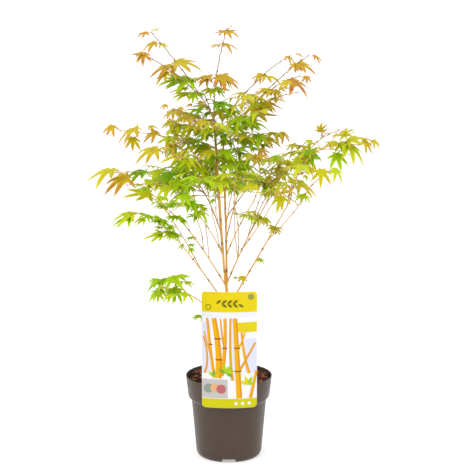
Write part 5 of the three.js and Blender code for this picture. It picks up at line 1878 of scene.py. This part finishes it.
# Rows across a lobe: share of its length and of its half width, from its middle to its tip.
LOBE_ROWS = ((0.52, 1.0), (0.73, 0.78), (0.88, 0.34))
SHORT_ROWS = ((0.55, 0.95),)
LEAF_TINTS = (
    ("leaf_deep_green", srgb(116, 165, 8)),
    ("leaf_green", srgb(147, 182, 18)),
    ("leaf_lime", srgb(172, 186, 20)),
    ("leaf_yellow_green", srgb(180, 176, 26)),
    ("leaf_gold_green", srgb(184, 167, 32)),
    ("leaf_gold", srgb(184, 153, 38)),
    ("leaf_amber", srgb(184, 134, 50)),
    ("leaf_rust", srgb(176, 112, 58)),
    ("leaf_pink", srgb(208, 138, 74)),
)
LEAF_PIECES = (("leaves_lower", 0.0, 0.604), ("leaves_middle", 0.604, 0.704), ("leaves_upper", 0.704, 2.0))
LEAF_SEED = 23
# The tint number of the warmest blade, and how far a leaf's tint strays from its spray's.
TINT_SPAN = 5.6
TINT_STRAY = 0.1
# The tints above which a lobe's middle, its tip and its tip once more take the next tint.
WARMER = (0.45, 0.3, 0.6)
# How much of the light that meets a leaf spreads through its thin blade.
BLADE_GLOW = 0.5
# The spread of the lobes' lengths, and of the bend, droop, fold and curl of the leaves.
LOBE_SPREAD, HOOK, DROOP_SPREAD, FOLD_SPREAD, CURL = (0.92, 1.06), 0.06, (0.35, 1.35), (0.4, 1.4), 0.1


class LeafTemplate:
    """One flat leaf as rows of lobe, distance along it, distance across it and height, and its faces."""

    def __init__(self, width):
        self.rows, self.faces, self.zones = [], [], []
        self.add(3, 0.0, 0.0, 0.0)
        self.add(3, 0.0, 0.0, -1.0)
        sinus = [self.sinus(i) for i in range(len(LEAF_LOBES))]
        for i, (_, length) in enumerate(LEAF_LOBES):
            self.lobe(i, length, width, sinus[i], sinus[(i + 1) % len(sinus)])
        self.rows = np.array(self.rows)

    def add(self, lobe, along, across, height):
        self.rows.append((lobe, along, across, height))
        return len(self.rows) - 1

    def sinus(self, i):
        """The bottom of the cut before a lobe, kept on that lobe's own axes."""
        turn, share = SINUS[i]
        aside = radians(turn - LEAF_LOBES[i][0])
        return self.add(i, share * cos(aside) / LEAF_LOBES[i][1], share * sin(aside), 0.0)

    def lobe(self, i, length, width, low, high):
        """The two halves of a lobe, above and below, from its cuts to its tip."""
        rows = SHORT_ROWS if length < 0.5 else LOBE_ROWS
        top, bottom = 0, 1
        for j, (share, wide) in enumerate(rows):
            half = wide * width * length
            left, right = self.add(i, share, -half, 0.0), self.add(i, share, half, 0.0)
            above, below = self.add(i, share, 0.0, 0.0), self.add(i, share, 0.0, -wide)
            self.faces += [(top, low, left, above), (top, above, right, high)]
            self.faces += [(bottom, below, left, low), (bottom, high, right, below)]
            self.zones += [min(j, 2)] * 4
            low, high, top, bottom = left, right, above, below
        tip = self.add(i, 1.0, 0.0, 0.0)
        self.faces += [(top, low, tip), (top, tip, high), (bottom, tip, low), (bottom, high, tip)]
        self.zones += [min(len(rows), 2)] * 4


def leaf_points(leaves, template, settings, rng):
    """The corners of all the leaves in metres, and their places in the leaf's own plane."""
    each_lobe = (len(leaves), len(LEAF_LOBES))
    each_leaf = (len(leaves), 1)
    lobes = template.rows[:, 0].astype(int)
    along, across, height = template.rows[:, 1:].T
    sizes = np.array([leaf.length for leaf in leaves]) * settings.size
    lengths = np.array([lobe[1] for lobe in LEAF_LOBES]) * rng.uniform(*LOBE_SPREAD, each_lobe)
    turns = np.radians([lobe[0] for lobe in LEAF_LOBES]) + rng.normal(0, settings.swing, each_lobe)
    hook = rng.normal(0, HOOK, each_lobe)
    a = along * lengths[:, lobes]
    c = across + hook[:, lobes] * along**2 * lengths[:, lobes]
    turn = turns[:, lobes]
    x = a * np.cos(turn) - c * np.sin(turn)
    y = a * np.sin(turn) + c * np.cos(turn)
    droop = settings.droop * rng.uniform(*DROOP_SPREAD, each_leaf)
    fold = settings.fold * rng.uniform(*FOLD_SPREAD, each_leaf)
    curl = rng.normal(0, CURL, each_lobe)[:, lobes]
    z = -droop * np.hypot(x, y) ** 2 + fold * np.abs(across) + curl * along**3
    frames = [np.array([getattr(leaf, name) for leaf in leaves]) for name in ("palm", "out", "side", "up")]
    palm, out, side, up = (each[:, None, :] for each in frames)
    flat = x[:, :, None] * out + y[:, :, None] * side + z[:, :, None] * up
    points = (palm + sizes[:, None, None] * flat) * MM + up * height[None, :, None] * settings.thickness
    return points, 0.5 + 0.45 * np.stack([x, y], axis=2)


class MAPLE_OT_leaves(bpy.types.Operator):
    """Make the seven-lobed leaves as a few joined pieces, with their tints dealt out leaf by leaf"""

    bl_idname = "maple.leaves"
    bl_label = "Leaves"

    def execute(self, context):
        settings = context.scene.maple_leaves
        template = LeafTemplate(settings.width)
        tints = [self.tint(name, colour) for name, colour in LEAF_TINTS]
        rng = np.random.default_rng(LEAF_SEED)
        replaced = [f"foliage_{row[0]}" for row in FOLIAGE]
        for name, low, high in LEAF_PIECES:
            leaves = [leaf for leaf in plant().leaves if low <= leaf.palm[2] * MM < high]
            piece = self.joined(name, leaves, template, settings, rng)
            finish_piece(piece, name, "foliage", tints, *replaced)
            replaced = []
        return {"FINISHED"}

    def joined(self, name, leaves, template, settings, rng):
        points, plane = leaf_points(leaves, template, settings, rng)
        count, zones = len(template.rows), np.array(template.zones)
        middle, tip, warm_tip = WARMER
        faces, kinds = [], []
        for i, leaf in enumerate(leaves):
            tint = min(1.0, max(0.0, leaf.tint + rng.normal(0, TINT_STRAY)))
            kind = round(tint * TINT_SPAN) + (zones == 1) * (tint > middle)
            kind += (zones == 2) * ((tint > tip) * 1 + (tint > warm_tip) * 1)
            kinds.extend(np.minimum(kind, len(LEAF_TINTS) - 1))
            faces.extend([tuple(corner + i * count for corner in face) for face in template.faces])
        piece = mesh_piece(name, points.reshape(-1, 3), faces, kinds)
        corners = np.empty(len(piece.data.loops), int)
        piece.data.loops.foreach_get("vertex_index", corners)
        plane_map = piece.data.uv_layers.new(name=LEAF_PLANE)
        plane_map.data.foreach_set("uv", plane.reshape(-1, 2)[corners].astype(np.float32).ravel())
        smooth(piece, 0.9)
        return piece

    def tint(self, name, colour):
        """A leaf's plain tint with raised veins and a soft sheen."""
        surface = Surface(name)
        veins = surface.effect(leaf_vein_group(), Strength=0.6)["Normal"]
        return surface.shade(
            colour,
            surface.gloss(240.0, 0.42, 0.6),
            veins,
            0.1,
            Subsurface_Weight=BLADE_GLOW,
            Subsurface_Radius=(1.0, 1.0, 0.4),
            Subsurface_Scale=0.0008,
        )


# ------------------------------------------------------------------ the stage
class StageSettings(bpy.types.PropertyGroup):
    """The camera, light and floor, with lengths in metres."""

    distance: length_field("Distance", "How far the camera stands from the plant", -EYE[1] * MM)
    height: length_field("Height", "Height of the camera", EYE[2] * MM)
    aside: length_field("Aside", "How far the camera stands to the right", EYE[0] * MM)
    pitch: turn_field("Pitch", "How far the camera looks down", 10.06)
    lens: FloatProperty(name="Lens", description="Focal length in millimetres", default=99.54)
    sky: FloatProperty(name="Sky", description="Strength of the even light", default=1.12)
    key: FloatProperty(name="Key", description="Power of the large soft light", default=36.0)
    fill: FloatProperty(name="Fill", description="Power of the fill light", default=16.0)


FLOOR_RADIUS = 200.0
FLOOR_TINT = (0.72, 0.72, 0.72)
FLOOR_GLOW = 0.4
# The lights: name, size, place and aim.
LIGHTS = (
    ("key", 2.2, (-1.7, -2.4, 3.1), (0, 0, 0.55)),
    ("fill", 2.6, (2.6, -2.0, 1.9), (0, 0, 0.5)),
)
SENSOR_WIDTH, FAR_END = 36, 500


class MAPLE_OT_stage(bpy.types.Operator):
    """Set the camera, the soft studio light and the pale floor"""

    bl_idname = "maple.stage"
    bl_label = "Stage"

    def execute(self, context):
        stage = context.scene.maple_stage
        self.floor()
        for name, size, place, aim in LIGHTS:
            start_piece()
            bpy.ops.object.light_add(type="AREA", location=place)
            light = bpy.context.object
            light.name = f"{name}_light"
            light.data.energy = getattr(stage, name)
            light.data.size = size
            light.rotation_euler = (Vector(aim) - Vector(place)).to_track_quat("-Z", "Y").to_euler()
        world = bpy.data.worlds.new("studio")
        world.use_nodes = True
        Tree(world.node_tree).feed(world.node_tree.nodes["Background"], Color=WHITE, Strength=stage.sky)
        context.scene.world = world
        at, turn = (stage.aside, -stage.distance, stage.height), (pi / 2 - stage.pitch, 0, 0)
        bpy.ops.object.camera_add(location=at, rotation=turn)
        camera = context.object
        camera.data.lens = stage.lens
        camera.data.sensor_width = SENSOR_WIDTH
        camera.data.clip_end = FAR_END
        context.scene.camera = camera
        context.scene.view_settings.view_transform = "Standard"
        return {"FINISHED"}

    def floor(self):
        start_piece()
        bpy.ops.mesh.primitive_circle_add(vertices=96, radius=FLOOR_RADIUS, fill_type="NGON")
        floor = bpy.context.object
        floor.name = "floor"
        surface = Surface("studio_floor")
        look = {"specular": 0.2, "Emission_Color": WHITE, "Emission_Strength": FLOOR_GLOW}
        floor.data.materials.append(surface.shade(FLOOR_TINT, surface.gloss(3.0, 0.6, 0.75), **look))


# ------------------------------------------------------------------ the panel and the run
SETTINGS = {
    "maple_pot": PotSettings,
    "maple_soil": SoilSettings,
    "maple_label": LabelSettings,
    "maple_bark": BarkSettings,
    "maple_twigs": TwigSettings,
    "maple_leaves": LeafSettings,
    "maple_stage": StageSettings,
}
OPERATORS = (
    MAPLE_OT_pot,
    MAPLE_OT_soil,
    MAPLE_OT_label,
    MAPLE_OT_bark,
    MAPLE_OT_twigs,
    MAPLE_OT_leaves,
    MAPLE_OT_stage,
)
GROWN = []


def plant():
    """The grown plant, worked out once for all the operators."""
    if not GROWN:
        GROWN.append(Plant())
    return GROWN[0]


class MAPLE_PT_panel(bpy.types.Panel):
    """The maple's pieces and their settings"""

    bl_label = "Potted maple"
    bl_idname = "MAPLE_PT_panel"
    bl_space_type = "VIEW_3D"
    bl_region_type = "UI"
    bl_category = "Maple"

    def draw(self, context):
        for name, operator in zip(SETTINGS, OPERATORS):
            box = self.layout.box()
            box.operator(operator.bl_idname)
            settings = getattr(context.scene, name)
            for field in settings.__annotations__:
                box.prop(settings, field)


def register():
    for settings in SETTINGS.values():
        bpy.utils.register_class(settings)
    for name, settings in SETTINGS.items():
        setattr(bpy.types.Scene, name, PointerProperty(type=settings))
    for operator in OPERATORS:
        bpy.utils.register_class(operator)
    bpy.utils.register_class(MAPLE_PT_panel)


def unregister():
    bpy.utils.unregister_class(MAPLE_PT_panel)
    for operator in reversed(OPERATORS):
        bpy.utils.unregister_class(operator)
    for name, settings in SETTINGS.items():
        delattr(bpy.types.Scene, name)
        bpy.utils.unregister_class(settings)


def main():
    register()
    for operator in OPERATORS:
        group, name = operator.bl_idname.split(".")
        if getattr(getattr(bpy.ops, group), name)() != {"FINISHED"}:
            raise RuntimeError(f"{operator.bl_label} did not finish")


if __name__ == "__main__":
    main()
